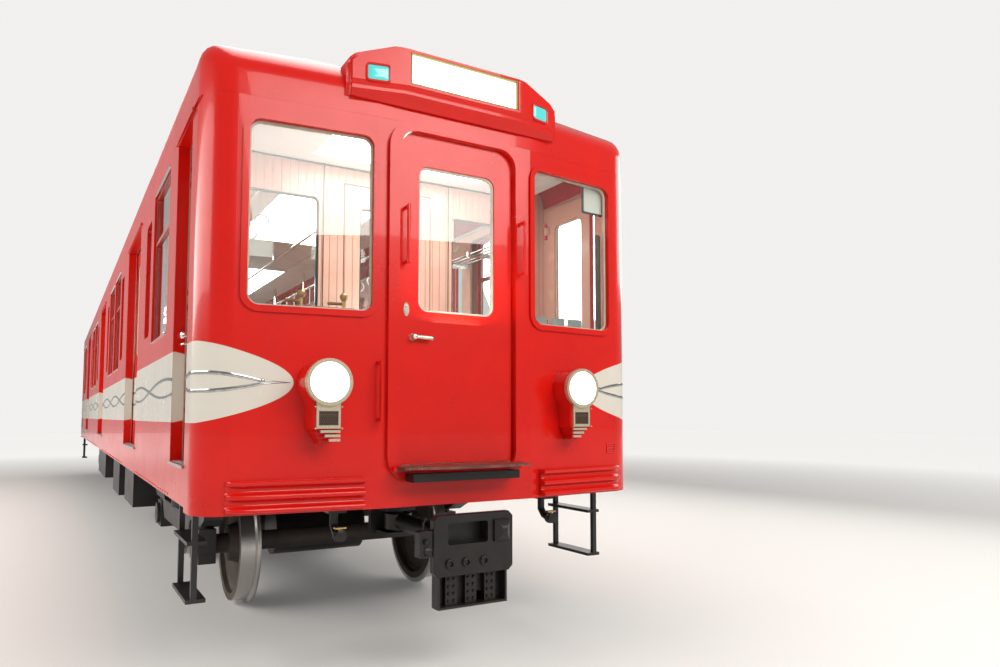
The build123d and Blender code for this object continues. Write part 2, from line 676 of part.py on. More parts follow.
def bulkhead(inner):
    """The wall between the cab at +X and the saloon, with a doorway."""
    x = (BULKHEAD_X, BULKHEAD_X + BULKHEAD)
    wall = end_panel((-HALF_W, HALF_W), (FLOOR_Z, CROWN_Z), x) & inner
    half = CAB_DOOR_WIDTH / 2 + SWING_GAP
    wall -= end_panel((-half, half), (FLOOR_Z - 1, CAB_DOOR_TOP_Z + MOVING_GAP), (x[0] - 5, x[1] + 5))
    for side in (-1, 1):
        edges = sorted((side * 500, side * 1120))
        wall -= end_panel(edges, (2000, 2880), (x[0] - 5, x[1] + 5), 40)
    return wall


def cab_door():
    """The door in the bulkhead at +X, opening into the saloon."""
    half = CAB_DOOR_WIDTH / 2
    x = (BULKHEAD_X, BULKHEAD_X + CAB_DOOR_THICKNESS)
    leaf = end_panel((-half, half), (FLOOR_Z + LEAF_GAP, CAB_DOOR_TOP_Z), x)
    leaf -= end_panel((-half + 110, half - 110), (2000, 2850), (x[0] - 5, x[1] + 5), 40)
    arm = ((CAB_AXIS[0] - 4, x[0]), (half - 40, CAB_AXIS[1]))
    for z in HINGE_HEIGHTS:
        leaf += knuckle(CAB_AXIS, z, arm)
    return leaf


def lining():
    """The left inside panel with its doorways and windows cut."""
    y = (LINING_INNER_Y, LINING_OUTER_Y)
    panel = side_panel((-BULKHEAD_X, BULKHEAD_X), (FLOOR_Z, LINING_TOP_Z), y)
    through = (LINING_INNER_Y - 5, LINING_OUTER_Y + 5)
    for edges, heights in all_side_windows():
        panel -= side_panel(edges, heights, through, SIDE_WINDOW_R)
    for centre in DOORWAYS:
        edges = (centre - DOORWAY_WIDTH / 2, centre + DOORWAY_WIDTH / 2)
        panel -= side_panel(edges, (FLOOR_Z - 1, DOORWAY_TOP_Z), through)
    return panel


def door_hinges():
    """Fixed hinge eyes of the crew, end and cab doors at +X, and the lugs of the step plate."""
    pieces = []
    for z in HINGE_HEIGHTS:
        crew_arm = ((CREW_AXIS[0] - KNUCKLE_R, CREW_AXIS[0]), (CREW_AXIS[1], WALL_INNER_Y))
        pieces += both_sides(hinge_holders(CREW_AXIS, z, crew_arm))
        end_arm = ((END_AXIS[0], NOSE_X - END_WALL), (END_AXIS[1], END_AXIS[1] + 30))
        pieces += hinge_holders(END_AXIS, z, end_arm)
        cab_arm = ((CAB_AXIS[0], BULKHEAD_X), (CAB_AXIS[1], CAB_AXIS[1] + 30))
        pieces += hinge_holders(CAB_AXIS, z, cab_arm)
    lug_x = (NOSE_X + BAND_PROUD, PLATE_HINGE_X + PLATE_BARREL_R)
    lug_y = (PLATE_HALF_WIDTH + SEAT_GAP, PLATE_HALF_WIDTH + 20)
    lug_z = (PLATE_HINGE_Z - PLATE_BARREL_R, PLATE_HINGE_Z + PLATE_BARREL_R)
    return pieces + both_sides([block(lug_x, lug_y, lug_z)])


def side_glass_and_sashes():
    """Left side window panes, and the sash frames of the big windows."""
    panes = []
    sashes = []
    glass_y = (HALF_W - 30 - GLASS, HALF_W - 30)
    sash_y = (HALF_W - 34 - SASH_DEPTH / 2, HALF_W - 34 + SASH_DEPTH / 2)
    for (low, high), (sill, top) in all_side_windows():
        low, high = low + SEAT_GAP, high - SEAT_GAP
        sill, top = sill + SEAT_GAP, top - SEAT_GAP
        if high - low < POCKET_WINDOW_WIDTH + 1:
            panes.append(side_panel((low, high), (sill, top), glass_y, SIDE_WINDOW_R))
            continue
        frame = side_panel((low, high), (sill, top), sash_y, SIDE_WINDOW_R)
        bar = (SASH_BAR_Z - SASH_WIDTH / 2, SASH_BAR_Z + SASH_WIDTH / 2)
        inner_x = (low + SASH_WIDTH, high - SASH_WIDTH)
        for z in ((sill + SASH_WIDTH, bar[0]), (bar[1], top - SASH_WIDTH)):
            frame -= side_panel(inner_x, z, (sash_y[0] - 5, sash_y[1] + 5), 18)
            pane_x = (inner_x[0] + SEAT_GAP, inner_x[1] - SEAT_GAP)
            panes.append(side_panel(pane_x, (z[0] + SEAT_GAP, z[1] - SEAT_GAP), glass_y, 18))
        sashes.append(frame)
    return panes, sashes


def end_glass():
    return swept(end_window_hole(-SEAT_GAP, (NOSE_X - 34, NOSE_X - 26)))


def end_mouldings():
    """Arched band round the end doorway and beads round the two end windows."""
    half = END_DOOR_WIDTH / 2 + SWING_GAP
    top = END_DOOR_TOP_Z + MOVING_GAP
    x = (NOSE_X, NOSE_X + BAND_PROUD)
    band_z = (BAND_LOW_Z, top + BAND_WIDTH)
    band = end_panel((-half - BAND_WIDTH, half + BAND_WIDTH), band_z, x, END_DOORWAY_R + BAND_WIDTH)
    band -= end_panel((-half, half), (BAND_LOW_Z + BAND_WIDTH, top), (x[0] - 5, x[1] + 5), END_DOORWAY_R)
    bead = end_window_hole(WINDOW_BEAD_WIDTH, (NOSE_X, NOSE_X + WINDOW_BEAD_PROUD))
    bead -= end_window_hole(0, (NOSE_X - 5, NOSE_X + WINDOW_BEAD_PROUD + 5))
    return [band] + both_sides([swept(bead)])


def sign_housing(outer):
    """Hood on the brow that holds the blank sign and two marker lamps."""
    side_top = (SIGN_Z + SIGN_TOP_Z) / 2 + 40
    points = [
        (-SIGN_HALF_WIDTH, SIGN_Z),
        (SIGN_HALF_WIDTH, SIGN_Z),
        (SIGN_HALF_WIDTH, side_top),
        (SIGN_TOP_HALF_WIDTH, SIGN_TOP_Z),
        (-SIGN_TOP_HALF_WIDTH, SIGN_TOP_Z),
        (-SIGN_HALF_WIDTH, side_top),
    ]
    plane = Plane(origin=(NOSE_X - SIGN_DEPTH, 0, 0), x_dir=(0, 1, 0), z_dir=(1, 0, 0))
    outline = Polygon(*points, align=None)
    outline = fillet(outline.vertices().filter_by(lambda v: v.Y > SIGN_Z + 1), 60)
    hood = extrude(plane * outline, SIGN_DEPTH + SIGN_PROUD)
    face = (NOSE_X + SIGN_PROUD - SIGN_RECESS, NOSE_X + SIGN_PROUD + 5)
    sign_y = (-SIGN_FACE_HALF_WIDTH, SIGN_FACE_HALF_WIDTH)
    hood -= end_panel(sign_y, (SIGN_FACE_LOW_Z, SIGN_FACE_HIGH_Z), face)
    for marker in marker_places():
        hood -= end_panel(*marker, face, 14)
    return hood - outer


def marker_places():
    half_w, half_h = MARKER_WIDTH / 2, MARKER_HEIGHT / 2
    z = (MARKER_Z - half_h, MARKER_Z + half_h)
    return [((side * MARKER_Y - half_w, side * MARKER_Y + half_w), z) for side in (-1, 1)]


def sign_faces():
    """The blank sign and the two marker lenses, set in the hood."""
    back = NOSE_X + SIGN_PROUD - SIGN_RECESS
    half = SIGN_FACE_HALF_WIDTH - SEAT_GAP
    sign = end_panel((-half, half), (SIGN_FACE_LOW_Z + SEAT_GAP, SIGN_FACE_HIGH_Z - SEAT_GAP), (back, back + 10))
    lenses = []
    for (low_y, high_y), (low_z, high_z) in marker_places():
        y = (low_y + SEAT_GAP, high_y - SEAT_GAP)
        z = (low_z + SEAT_GAP, high_z - SEAT_GAP)
        lenses.append(end_panel(y, z, (back, back + SIGN_RECESS - 4), 14))
    return [sign] + lenses


def lamp_pod(outer):
    """Body-coloured pod behind the left headlamp, tapering to its foot."""
    front = NOSE_X + LAMP_PROUD - LAMP_SWEEP - LAMP_METAL
    back = front - LAMP_PROUD
    pod = rod((back, LAMP_Y, LAMP_Z), (front, LAMP_Y, LAMP_Z), LAMP_RIM_R)
    half = LAMP_RIM_R * 0.72
    foot = [
        (LAMP_Y - half, LAMP_Z),
        (LAMP_Y - half * 0.85, POD_LOW_Z),
        (LAMP_Y - half * 0.1, POD_LOW_Z),
        (LAMP_Y + half * 0.85, GRILLE_LOW_Z - 20),
        (LAMP_Y + half, LAMP_Z),
    ]
    plane = Plane(origin=(back, 0, 0), x_dir=(0, 1, 0), z_dir=(1, 0, 0))
    return pod + extrude(plane * Polygon(*foot, align=None), front - back) - outer


def lamp_metal():
    """Rim, grille frame and three stepped bars of the left headlamp."""
    back = NOSE_X + LAMP_PROUD - LAMP_SWEEP - LAMP_METAL
    front = back + LAMP_METAL
    rim = rod((back, LAMP_Y, LAMP_Z), (front, LAMP_Y, LAMP_Z), LAMP_RIM_R)
    rim -= rod((front - 14, LAMP_Y, LAMP_Z), (front + 5, LAMP_Y, LAMP_Z), LAMP_GLASS_R)
    half = GRILLE_WIDTH / 2
    grille_x = (back, back + 14)
    frame = end_panel((LAMP_Y - half, LAMP_Y + half), (GRILLE_LOW_Z, LAMP_Z - 60), grille_x)
    opening = end_panel((LAMP_Y - half + 12, LAMP_Y + half - 12), (GRILLE_LOW_Z + 16, GRILLE_HIGH_Z), (back + 4, back + 20))
    metal = rim + frame - opening
    pieces = [metal]
    for step in range(3):
        top = GRILLE_LOW_Z - 8 - step * 22
        y = (LAMP_Y - half, LAMP_Y + half - 22 * (step + 1))
        pieces.append(end_panel(y, (top - 13, top), (back, back + 12)))
    return pieces


def lamp_glass():
    front = NOSE_X + LAMP_PROUD - LAMP_SWEEP
    return rod((front - 14, LAMP_Y, LAMP_Z), (front - 3, LAMP_Y, LAMP_Z), LAMP_GLASS_R - SEAT_GAP)


def end_ribs(outer):
    """Left anti-climbing ribs: a backing plate and ribs that wrap round the corner."""
    pieces = None
    zone = block((NOSE_X - 330, NOSE_X + RIB_PROUD + 5), (RIB_INNER_Y, HALF_W), (0, CROWN_Z))
    rows = [(RIB_PROUD, RIB_LOW_Z + n * RIB_PITCH, RIB_HEIGHT) for n in range(RIB_COUNT)]
    rows.append((18, RIB_LOW_Z, RIB_PITCH * (RIB_COUNT - 1) + RIB_HEIGHT))
    for proud, low, height in rows:
        plan = plan_outline(NOSE_X + proud, HALF_W, CORNER_R)
        rib = (Pos(0, 0, low) * extrude(plan, height)) & zone
        pieces = rib if pieces is None else pieces + rib
    return pieces - outer


def handrails():
    """Upright handles beside the end doorway."""
    upper = (END_HANDLE_Z - HANDLE_LENGTH / 2, END_HANDLE_Z + HANDLE_LENGTH / 2)
    lower = (LOW_HANDLE_Z - HANDLE_LENGTH / 2, LOW_HANDLE_Z + HANDLE_LENGTH / 2)
    band_y = END_DOOR_WIDTH / 2 + SWING_GAP + BAND_WIDTH / 2
    on_band = grab_handle((NOSE_X + BAND_PROUD + HANDLE_ROOT, band_y), upper)
    on_panel = grab_handle((NOSE_X + HANDLE_ROOT, -LOW_HANDLE_Y), lower)
    return [on_band, on_panel]


def door_sills():
    """Left metal treads in the doorways."""
    pieces = []
    doorways = [(centre - DOORWAY_WIDTH / 2, centre + DOORWAY_WIDTH / 2) for centre in DOORWAYS]
    for low, high in doorways + [(CREW_X0, CREW_X1), (-CREW_X1, -CREW_X0)]:
        pieces.append(block((low, high), (WALL_INNER_Y, HALF_W), (FLOOR_Z, FLOOR_Z + SILL_PLATE)))
    return pieces


def rain_gutters():
    """Left hoods over the doorways."""
    pieces = []
    doorways = [(centre - DOORWAY_WIDTH / 2, centre + DOORWAY_WIDTH / 2) for centre in DOORWAYS]
    for low, high in doorways + [(CREW_X0, CREW_X1), (-CREW_X1, -CREW_X0)]:
        z = (DOORWAY_TOP_Z + 8, DOORWAY_TOP_Z + 8 + GUTTER_HEIGHT)
        pieces.append(block((low - 40, high + 40), (HALF_W, HALF_W + GUTTER_PROUD), z))
    return pieces


def ceiling():
    """Ceiling panel between the bulkheads, and a lamp cover below it along each side."""
    half = CEILING_WIDTH / 2
    panel = block((-BULKHEAD_X, BULKHEAD_X), (-half, half), (CEILING_Z, CEILING_Z + CEILING))
    cover_x = (-BULKHEAD_X + LAMP_STRIP_END, BULKHEAD_X - LAMP_STRIP_END)
    cover_y = (LAMP_STRIP_Y - LAMP_STRIP_WIDTH / 2, LAMP_STRIP_Y + LAMP_STRIP_WIDTH / 2)
    cover = block(cover_x, cover_y, (CEILING_Z - LAMP_STRIP_DROP, CEILING_Z - SEAT_GAP))
    return [panel] + both_sides([cover])


def rails_and_racks():
    """Left grab poles and the luggage rails over the benches."""
    pieces = []
    for low, high in window_spans():
        for at in (low, high):
            if abs(at) > BULKHEAD_X - 200:
                continue
            foot_y = LINING_INNER_Y - SEAT_DEPTH - 30
            pieces.append(rod((at, foot_y, FLOOR_Z), (at, foot_y, CEILING_Z), POLE_R))
        rack = None
        for at in (low + 120, (low + high) / 2, high - 120):
            y = (LINING_INNER_Y - RACK_DEPTH, LINING_INNER_Y)
            bracket = block((at - 8, at + 8), y, (RACK_Z - 18, RACK_Z + 18))
            rack = bracket if rack is None else rack + bracket
        for out in (60, 120, 180, 240):
            y = LINING_INNER_Y - out
            rack += rod((low + 60, y, RACK_Z), (high - 60, y, RACK_Z), 8)
        pieces.append(rack)
    return pieces


def cab_desk():
    """Driver's desk at +X: a cupboard with a sloping top."""
    front = NOSE_X - END_WALL - DESK_GAP
    back = front - DESK_DEPTH
    points = [
        (back, FLOOR_Z),
        (front, FLOOR_Z),
        (front, DESK_TOP_Z),
        (back + DESK_SLOPE, DESK_TOP_Z),
        (back, DESK_TOP_Z - DESK_SLOPE),
    ]
    plane = Plane(origin=(0, -DESK_INNER_Y, 0), x_dir=(1, 0, 0), z_dir=(0, -1, 0))
    return extrude(plane * Polygon(*points, align=None), WALL_INNER_Y - DESK_WALL_GAP - DESK_INNER_Y)


def driver_places():
    """The driver's seat cushion at +X, as (low, high) pairs along and across the car."""
    back = BULKHEAD_X + BULKHEAD + DRIVER_SEAT_BACK
    half = DRIVER_SEAT_WIDTH / 2
    return (back, back + DRIVER_SEAT_DEPTH), (-DRIVER_SEAT_Y - half, -DRIVER_SEAT_Y + half)


def driver_seat():
    x, y = driver_places()
    middle = ((x[0] + x[1]) / 2, -DRIVER_SEAT_Y)
    pedestal = rod((*middle, FLOOR_Z), (*middle, FLOOR_Z + DRIVER_SEAT_HEIGHT), DRIVER_PEDESTAL_R)
    return pedestal + block(x, y, (FLOOR_Z + DRIVER_SEAT_HEIGHT, FLOOR_Z + DRIVER_SEAT_HEIGHT + DRIVER_PAN))


def driver_cushions():
    x, y = driver_places()
    seat_z = FLOOR_Z + DRIVER_SEAT_HEIGHT + DRIVER_PAN + SEAT_GAP
    back_z = seat_z + DRIVER_CUSHION + SEAT_GAP
    seat = block(x, y, (seat_z, seat_z + DRIVER_CUSHION))
    back = block((x[0], x[0] + DRIVER_CUSHION * 0.75), y, (back_z, back_z + DRIVER_BACK_HEIGHT))
    return [seat, back]


def underfloor_gear():
    """Equipment cases, air tanks and crew steps under the floor."""
    top = FLOOR_BOTTOM_Z - BEARER_DROP
    pieces = []
    # Cases: low and high edge along the car, inner and outer edge across, lowest point
    cases = [
        (-3550, -2450, 420, 1220, 430),
        (-1550, -450, 420, 1220, 380),
        (450, 2550, 560, 1220, 410),
        (-3550, -1450, -1220, -520, 400),
        (450, 1550, -1220, -420, 380),
        (2450, 3550, -1220, -480, 430),
    ]
    for x0, x1, y0, y1, low in cases:
        pieces.append(block((x0, x1), (y0, y1), (low, top)))
    for y in (-150, 200):
        tank = rod((-1450, y, 780), (1450, y, 780), 150)
        for at in (-500, 500):
            tank += block((at - 25, at + 25), (y - 40, y + 40), (900, top))
        pieces.append(tank)
    return pieces + both_ends(both_sides([crew_steps()]))


def crew_steps():
    """Left step iron under the crew door at +X."""
    y = (WALL_INNER_Y - 60, WALL_INNER_Y + 40)
    steps = None
    for at in (CREW_X0 + 40, CREW_X1 - 40):
        bar = block((at - 15, at + 15), (WALL_INNER_Y - 15, WALL_INNER_Y + 15), (STEP_LOW_Z, SILL_Z))
        steps = bar if steps is None else steps + bar
    for z in (STEP_LOW_Z, STEP_LOW_Z + 300):
        steps += block((CREW_X0 + 25, CREW_X1 - 25), y, (z, z + 20))
    return steps


def window_spans():
    """Stretches of the side between doorways where a bench stands."""
    return [(1500, 3500), (6450, 7600), (-3500, -1500), (-7600, -6450)]


def bench_frame(x):
    low, high = x
    y = (LINING_INNER_Y - SEAT_DEPTH, LINING_INNER_Y)
    top = FLOOR_Z + SEAT_HEIGHT - CUSHION
    seat = block(x, y, (top - SEAT_BASE, top))
    for at in (low + 60, high - 60):
        seat += block((at - 20, at + 20), (y[0] + 60, y[1]), (FLOOR_Z, top - SEAT_BASE))
    return seat


def bench_cushions(x):
    y = (LINING_INNER_Y - SEAT_DEPTH, LINING_INNER_Y - SEAT_GAP)
    top = FLOOR_Z + SEAT_HEIGHT - CUSHION
    base = block(x, y, (top + SEAT_GAP, top + CUSHION))
    back_y = (y[1] - CUSHION, y[1])
    back = block(x, back_y, (top + CUSHION + SEAT_GAP, top + CUSHION + BACK_HEIGHT))
    return [base, back]


def write(name, shapes):
    """Writes one named piece, made of one or more solids."""
    solids = [solid for shape in shapes for solid in shape.solids()]
    export_step(Compound(children=solids) if len(solids) > 1 else solids[0], f"parts/{name}.step")


def main():
    os.makedirs("parts", exist_ok=True)
    outer = body_form(0, 0, 0, END_BOTTOM_Z)
    inner = body_form(SIDE_WALL, END_WALL, ROOF_SKIN, END_BOTTOM_Z - 50)
    shell = outer - inner
    left = side_wall(shell)
    write("side_wall_left", [left])
    write("side_wall_right", [mirrored(left)])
    end = end_wall(shell)
    write("end_wall_front", [end])
    write("end_wall_rear", [turned(end)])
    write("roof", roof(shell))
    write("underframe", underframe())
    couplers = coupler()
    write("coupler_front", [couplers])
    write("coupler_rear", [turned(couplers)])
    for name, x in (("front", BOGIE_X), ("rear", -BOGIE_X)):
        write(f"bogie_frame_{name}", [bogie_frame(x)])
        write(f"bogie_gear_{name}", bogie_gear(x))
        write(f"wheelset_{name}_a", [wheelset(x + WHEELBASE / 2)])
        write(f"wheelset_{name}_b", [wheelset(x - WHEELBASE / 2)])
    for number, centre in enumerate(DOORWAYS):
        for letter, direction in (("a", 1), ("b", -1)):
            leaf = door_leaf(centre, direction)
            write(f"door_left_{number + 1}{letter}", [leaf])
            write(f"door_right_{number + 1}{letter}", [mirrored(leaf)])
    crew = crew_door()
    write("crew_door_front_left", [crew])
    write("crew_door_front_right", [mirrored(crew)])
    write("crew_door_rear_left", [turned(mirrored(crew))])
    write("crew_door_rear_right", [turned(crew)])
    write("end_door_front", [end_door()])
    write("end_door_rear", [turned(end_door())])
    write("fall_plate_front", [fall_plate()])
    write("fall_plate_rear", [turned(fall_plate())])
    write("bulkheads", both_ends([bulkhead(inner)]))
    write("cab_door_front", [cab_door()])
    write("cab_door_rear", [turned(cab_door())])
    write("linings", both_sides([lining()]))
    write("door_rails", both_sides(door_rails()))
    write("door_hinges", both_ends(door_hinges()))
    panes, sashes = side_glass_and_sashes()
    write("side_glass", both_sides(panes))
    write("sashes", both_sides(sashes))
    write("end_glass", both_ends(both_sides([end_glass()])))
    write("end_mouldings", both_ends(end_mouldings()))
    write("end_housings", both_ends([sign_housing(outer)] + both_sides([lamp_pod(outer)])))
    write("sign_faces", both_ends(sign_faces()))
    write("headlamps", both_ends(both_sides(lamp_metal())))
    write("lamp_glasses", both_ends(both_sides([lamp_glass()])))
    write("end_ribs", both_ends(both_sides([end_ribs(outer)])))
    write("handrails", both_ends(handrails()))
    write("door_sills", both_sides(door_sills()))
    write("rain_gutters", both_sides(rain_gutters()))
    write("ceiling", ceiling())
    write("rails_and_racks", both_sides(rails_and_racks()))
    write("cab_fittings", both_ends([cab_desk(), driver_seat()]))
    write("underfloor_gear", underfloor_gear())
    write("bench_frames", both_sides([bench_frame(x) for x in window_spans()]))
    write("bench_cushions", both_sides([c for x in window_spans() for c in bench_cushions(x)]) + both_ends(driver_cushions()))


main()
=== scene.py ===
from math import cos, hypot, pi, radians, sin, sqrt, tan
import bmesh
import bpy
from mathutils import Matrix, Vector


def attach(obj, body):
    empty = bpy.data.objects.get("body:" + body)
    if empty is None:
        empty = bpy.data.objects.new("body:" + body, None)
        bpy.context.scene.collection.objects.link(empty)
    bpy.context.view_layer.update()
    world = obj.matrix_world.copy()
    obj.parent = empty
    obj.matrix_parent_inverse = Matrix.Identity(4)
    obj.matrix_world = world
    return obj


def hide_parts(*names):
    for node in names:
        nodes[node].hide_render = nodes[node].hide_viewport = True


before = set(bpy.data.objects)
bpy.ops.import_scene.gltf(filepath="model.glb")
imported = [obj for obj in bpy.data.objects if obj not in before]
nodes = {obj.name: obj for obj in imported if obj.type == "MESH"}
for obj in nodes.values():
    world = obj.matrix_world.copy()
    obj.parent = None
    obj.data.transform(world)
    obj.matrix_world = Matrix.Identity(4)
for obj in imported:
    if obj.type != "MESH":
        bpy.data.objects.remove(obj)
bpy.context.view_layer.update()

# Sizes of the car in metres. X runs along it, Y to its left, Z up from the wheels' lowest point.
NOSE_X = 8.75
HALF_W = 1.395
FOLD_Y = 0.5
SWEEP = radians(6.6)
FLOOR_Z = 1.138
DOORWAYS = [-5.0, 0.0, 5.0]
DOORWAY_WIDTH = 1.2
OPENING_TOP_Z = 3.021
LEAF_OUTER_Y = 1.317
LEAF_INNER_Y = 1.281
LINING_INNER_Y = 1.253
CREW_DOOR_X = (7.80, 8.34)
BULKHEAD_X = 7.65
CEILING_Z = 3.29
AXLE_Z = 0.458
BOGIE_X = 5.5
WHEELBASE = 2.2
COUPLER_Z = 0.718

# The painted band
BAND_Z = 1.58
BAND_HALF = 0.2075
BAND_TIP_Y = 0.93
BAND_FULL_Y = 1.38

# Where the photograph was taken from: place, heading, tilt and lens
CAMERA_AT = (12.5091, -1.9816, 1.4028)
CAMERA_YAW = 2.5997
CAMERA_PITCH = 0.0663
CAMERA_LENS = 26.618
CAMERA_SHIFT_Y = 0.03455

UP = Vector((0, 0, 1))
HALF_TURN = Matrix.Rotation(pi, 4, "Z")
MIRROR_Y = Matrix.Scale(-1, 4, (0, 1, 0))
SAME = Matrix.Identity(4)
ENDS = [("front", SAME), ("rear", HALF_TURN)]
SIDES = [("left", SAME), ("right", MIRROR_Y)]
QUARTERS = [
    ("front_left", SAME), ("front_right", MIRROR_Y),
    ("rear_left", HALF_TURN @ MIRROR_Y), ("rear_right", HALF_TURN),
]


# Objects

def place_object(name, data):
    made = bpy.data.objects.new(name, data)
    bpy.context.scene.collection.objects.link(made)
    return made


def settled(thing):
    """The plain mesh that an object's modifiers make of it."""
    graph = bpy.context.evaluated_depsgraph_get()
    graph.update()
    return bpy.data.meshes.new_from_object(thing.evaluated_get(graph))


# Camera

def aim_camera():
    data = bpy.data.cameras.new("view")
    data.sensor_width = 36
    data.lens = CAMERA_LENS
    data.shift_y = CAMERA_SHIFT_Y
    data.clip_end = 200
    eye = place_object("view", data)
    level = cos(CAMERA_PITCH)
    heading = Vector((cos(CAMERA_YAW) * level, sin(CAMERA_YAW) * level, sin(CAMERA_PITCH)))
    eye.location = CAMERA_AT
    eye.rotation_euler = heading.to_track_quat("-Z", "Y").to_euler()
    bpy.context.scene.camera = eye


# Node helpers

def put(tree, kind, inputs=None, **settings):
    """Adds a node, with its settings and inputs; an input that is a socket is linked."""
    made = tree.nodes.new(kind)
    for name, value in settings.items():
        setattr(made, name, value)
    for name, value in (inputs or {}).items():
        if isinstance(value, bpy.types.NodeSocket):
            tree.links.new(value, made.inputs[name])
        else:
            made.inputs[name].default_value = value
    return made


def maths(tree, operation, a, b=0.0, clamp=False):
    made = put(tree, "ShaderNodeMath", {0: a, 1: b}, operation=operation, use_clamp=clamp)
    return made.outputs[0]


def blend_colour(tree, mask, low, high):
    inputs = {0: mask, 6: low, 7: high}
    return put(tree, "ShaderNodeMix", inputs, data_type="RGBA").outputs[2]


def spread(tree, value, low, high, to_low=0.0, to_high=1.0):
    """Maps a value's range onto another, clamped."""
    ends = {"From Min": low, "From Max": high, "To Min": to_low, "To Max": to_high}
    return put(tree, "ShaderNodeMapRange", {"Value": value, **ends}).outputs[0]


def noise(tree, place, scale, detail=3.0, rough=0.5):
    inputs = {"Vector": place, "Scale": scale, "Detail": detail, "Roughness": rough}
    return put(tree, "ShaderNodeTexNoise", inputs).outputs[0]


def place_of(tree):
    return put(tree, "ShaderNodeTexCoord").outputs["Object"]


def axes(tree, place=None):
    """The three parts of a place, by default of the point that is shaded."""
    place = place_of(tree) if place is None else place
    return put(tree, "ShaderNodeSeparateXYZ", {0: place}).outputs


def ripple(tree, value, pitch):
    """A wave of the given pitch along a value, from -1 to 1."""
    return maths(tree, "SINE", maths(tree, "MULTIPLY", value, 2 * pi / pitch))


def fix(shader, **values):
    """Sets a shader's inputs to plain values; an underscore stands for a space."""
    for name, value in values.items():
        shader.inputs[name.replace("_", " ")].default_value = value


def wire(shader, **values):
    """Links sockets to a shader's inputs; an underscore stands for a space."""
    for name, socket in values.items():
        shader.id_data.links.new(socket, shader.inputs[name.replace("_", " ")])


def new_group(name, inputs, outputs):
    """A shader node group with number inputs; returns it with its two ends."""
    group = bpy.data.node_groups.new(name, "ShaderNodeTree")
    for label, value in inputs:
        socket = group.interface.new_socket(name=label, in_out="INPUT", socket_type="NodeSocketFloat")
        socket.default_value = value
    for label in outputs:
        group.interface.new_socket(name=label, in_out="OUTPUT", socket_type="NodeSocketFloat")
    return group, group.nodes.new("NodeGroupInput"), group.nodes.new("NodeGroupOutput")


def use_group(tree, group, **values):
    """Adds a group; its inputs are linked or set, and an underscore stands for a space."""
    inputs = {name.replace("_", " "): value for name, value in values.items()}
    return put(tree, "ShaderNodeGroup", inputs, node_tree=group)


# Shared effects

def make_band_group():
    """The white band: full height on the sides, narrowing along a parabola to a tip on each end."""
    group, ends, out = new_group("band_shape", [("Tip", BAND_TIP_Y), ("Full", BAND_FULL_Y)], ["Mask"])
    part = axes(group)
    across = maths(group, "ABSOLUTE", part["Y"])
    reach = maths(group, "SUBTRACT", ends.outputs["Full"], ends.outputs["Tip"])
    past_tip = maths(group, "SUBTRACT", across, ends.outputs["Tip"])
    along = maths(group, "DIVIDE", past_tip, reach, clamp=True)
    half = maths(group, "MULTIPLY", maths(group, "SQRT", along), BAND_HALF)
    away = maths(group, "ABSOLUTE", maths(group, "SUBTRACT", part["Z"], BAND_Z))
    inside = maths(group, "SUBTRACT", half, away)
    group.links.new(spread(group, inside, 0.0, 0.0015), out.inputs["Mask"])
    return group


def make_outer_group():
    """1 on the outer skin, 0 on what faces the inside, by how far out a point lies."""
    group, ends, out = new_group("outer_skin", [("Side", 1.336), ("End", NOSE_X - 0.03)], ["Mask"])
    part = axes(group)
    across = maths(group, "ABSOLUTE", part["Y"])
    past_fold = maths(group, "MAXIMUM", maths(group, "SUBTRACT", across, FOLD_Y), 0.0)
    bent = maths(group, "MULTIPLY", past_fold, tan(SWEEP))
    ahead = maths(group, "ADD", maths(group, "ABSOLUTE", part["X"]), bent)
    side = maths(group, "GREATER_THAN", across, ends.outputs["Side"])
    front = maths(group, "GREATER_THAN", ahead, ends.outputs["End"])
    group.links.new(maths(group, "MAXIMUM", side, front), out.inputs["Mask"])
    return group


def make_enamel_group():
    """Brushed-out gloss paint on sheet metal: slow panel waves and a fine skin."""
    group, ends, out = new_group("enamel_skin", [("Waves", 1.0), ("Peel", 1.0)], ["Height", "Shade"])
    place = place_of(group)
    slow = noise(group, place, 1.7, 2.0)
    middle = noise(group, place, 9.0, 2.0)
    fine = noise(group, place, 160.0, 2.0)
    mixed = maths(group, "ADD", slow, maths(group, "MULTIPLY", middle, 0.12))
    waves = maths(group, "MULTIPLY", mixed, ends.outputs["Waves"])
    peel = maths(group, "MULTIPLY", maths(group, "MULTIPLY", fine, 0.004), ends.outputs["Peel"])
    group.links.new(maths(group, "ADD", waves, peel), out.inputs["Height"])
    group.links.new(noise(group, place, 3.1, 5.0, 0.62), out.inputs["Shade"])
    return group


def make_grime_group():
    """Dust and dirt: more of it below a height, broken up by noise."""
    names = [("Low", 0.1), ("High", 1.1), ("Scale", 6.0), ("Amount", 1.0)]
    group, ends, out = new_group("grime", names, ["Mask", "Height"])
    place = place_of(group)
    height = axes(group, place)["Z"]
    fall = spread(group, height, ends.outputs["Low"], ends.outputs["High"], 1.0, 0.15)
    broken = spread(group, noise(group, place, ends.outputs["Scale"], 6.0, 0.62), 0.36, 0.68)
    patches = maths(group, "MULTIPLY", fall, broken)
    mask = maths(group, "MULTIPLY", patches, ends.outputs["Amount"], clamp=True)
    group.links.new(mask, out.inputs["Mask"])
    group.links.new(noise(group, place, 240.0, 3.0), out.inputs["Height"])
    return group


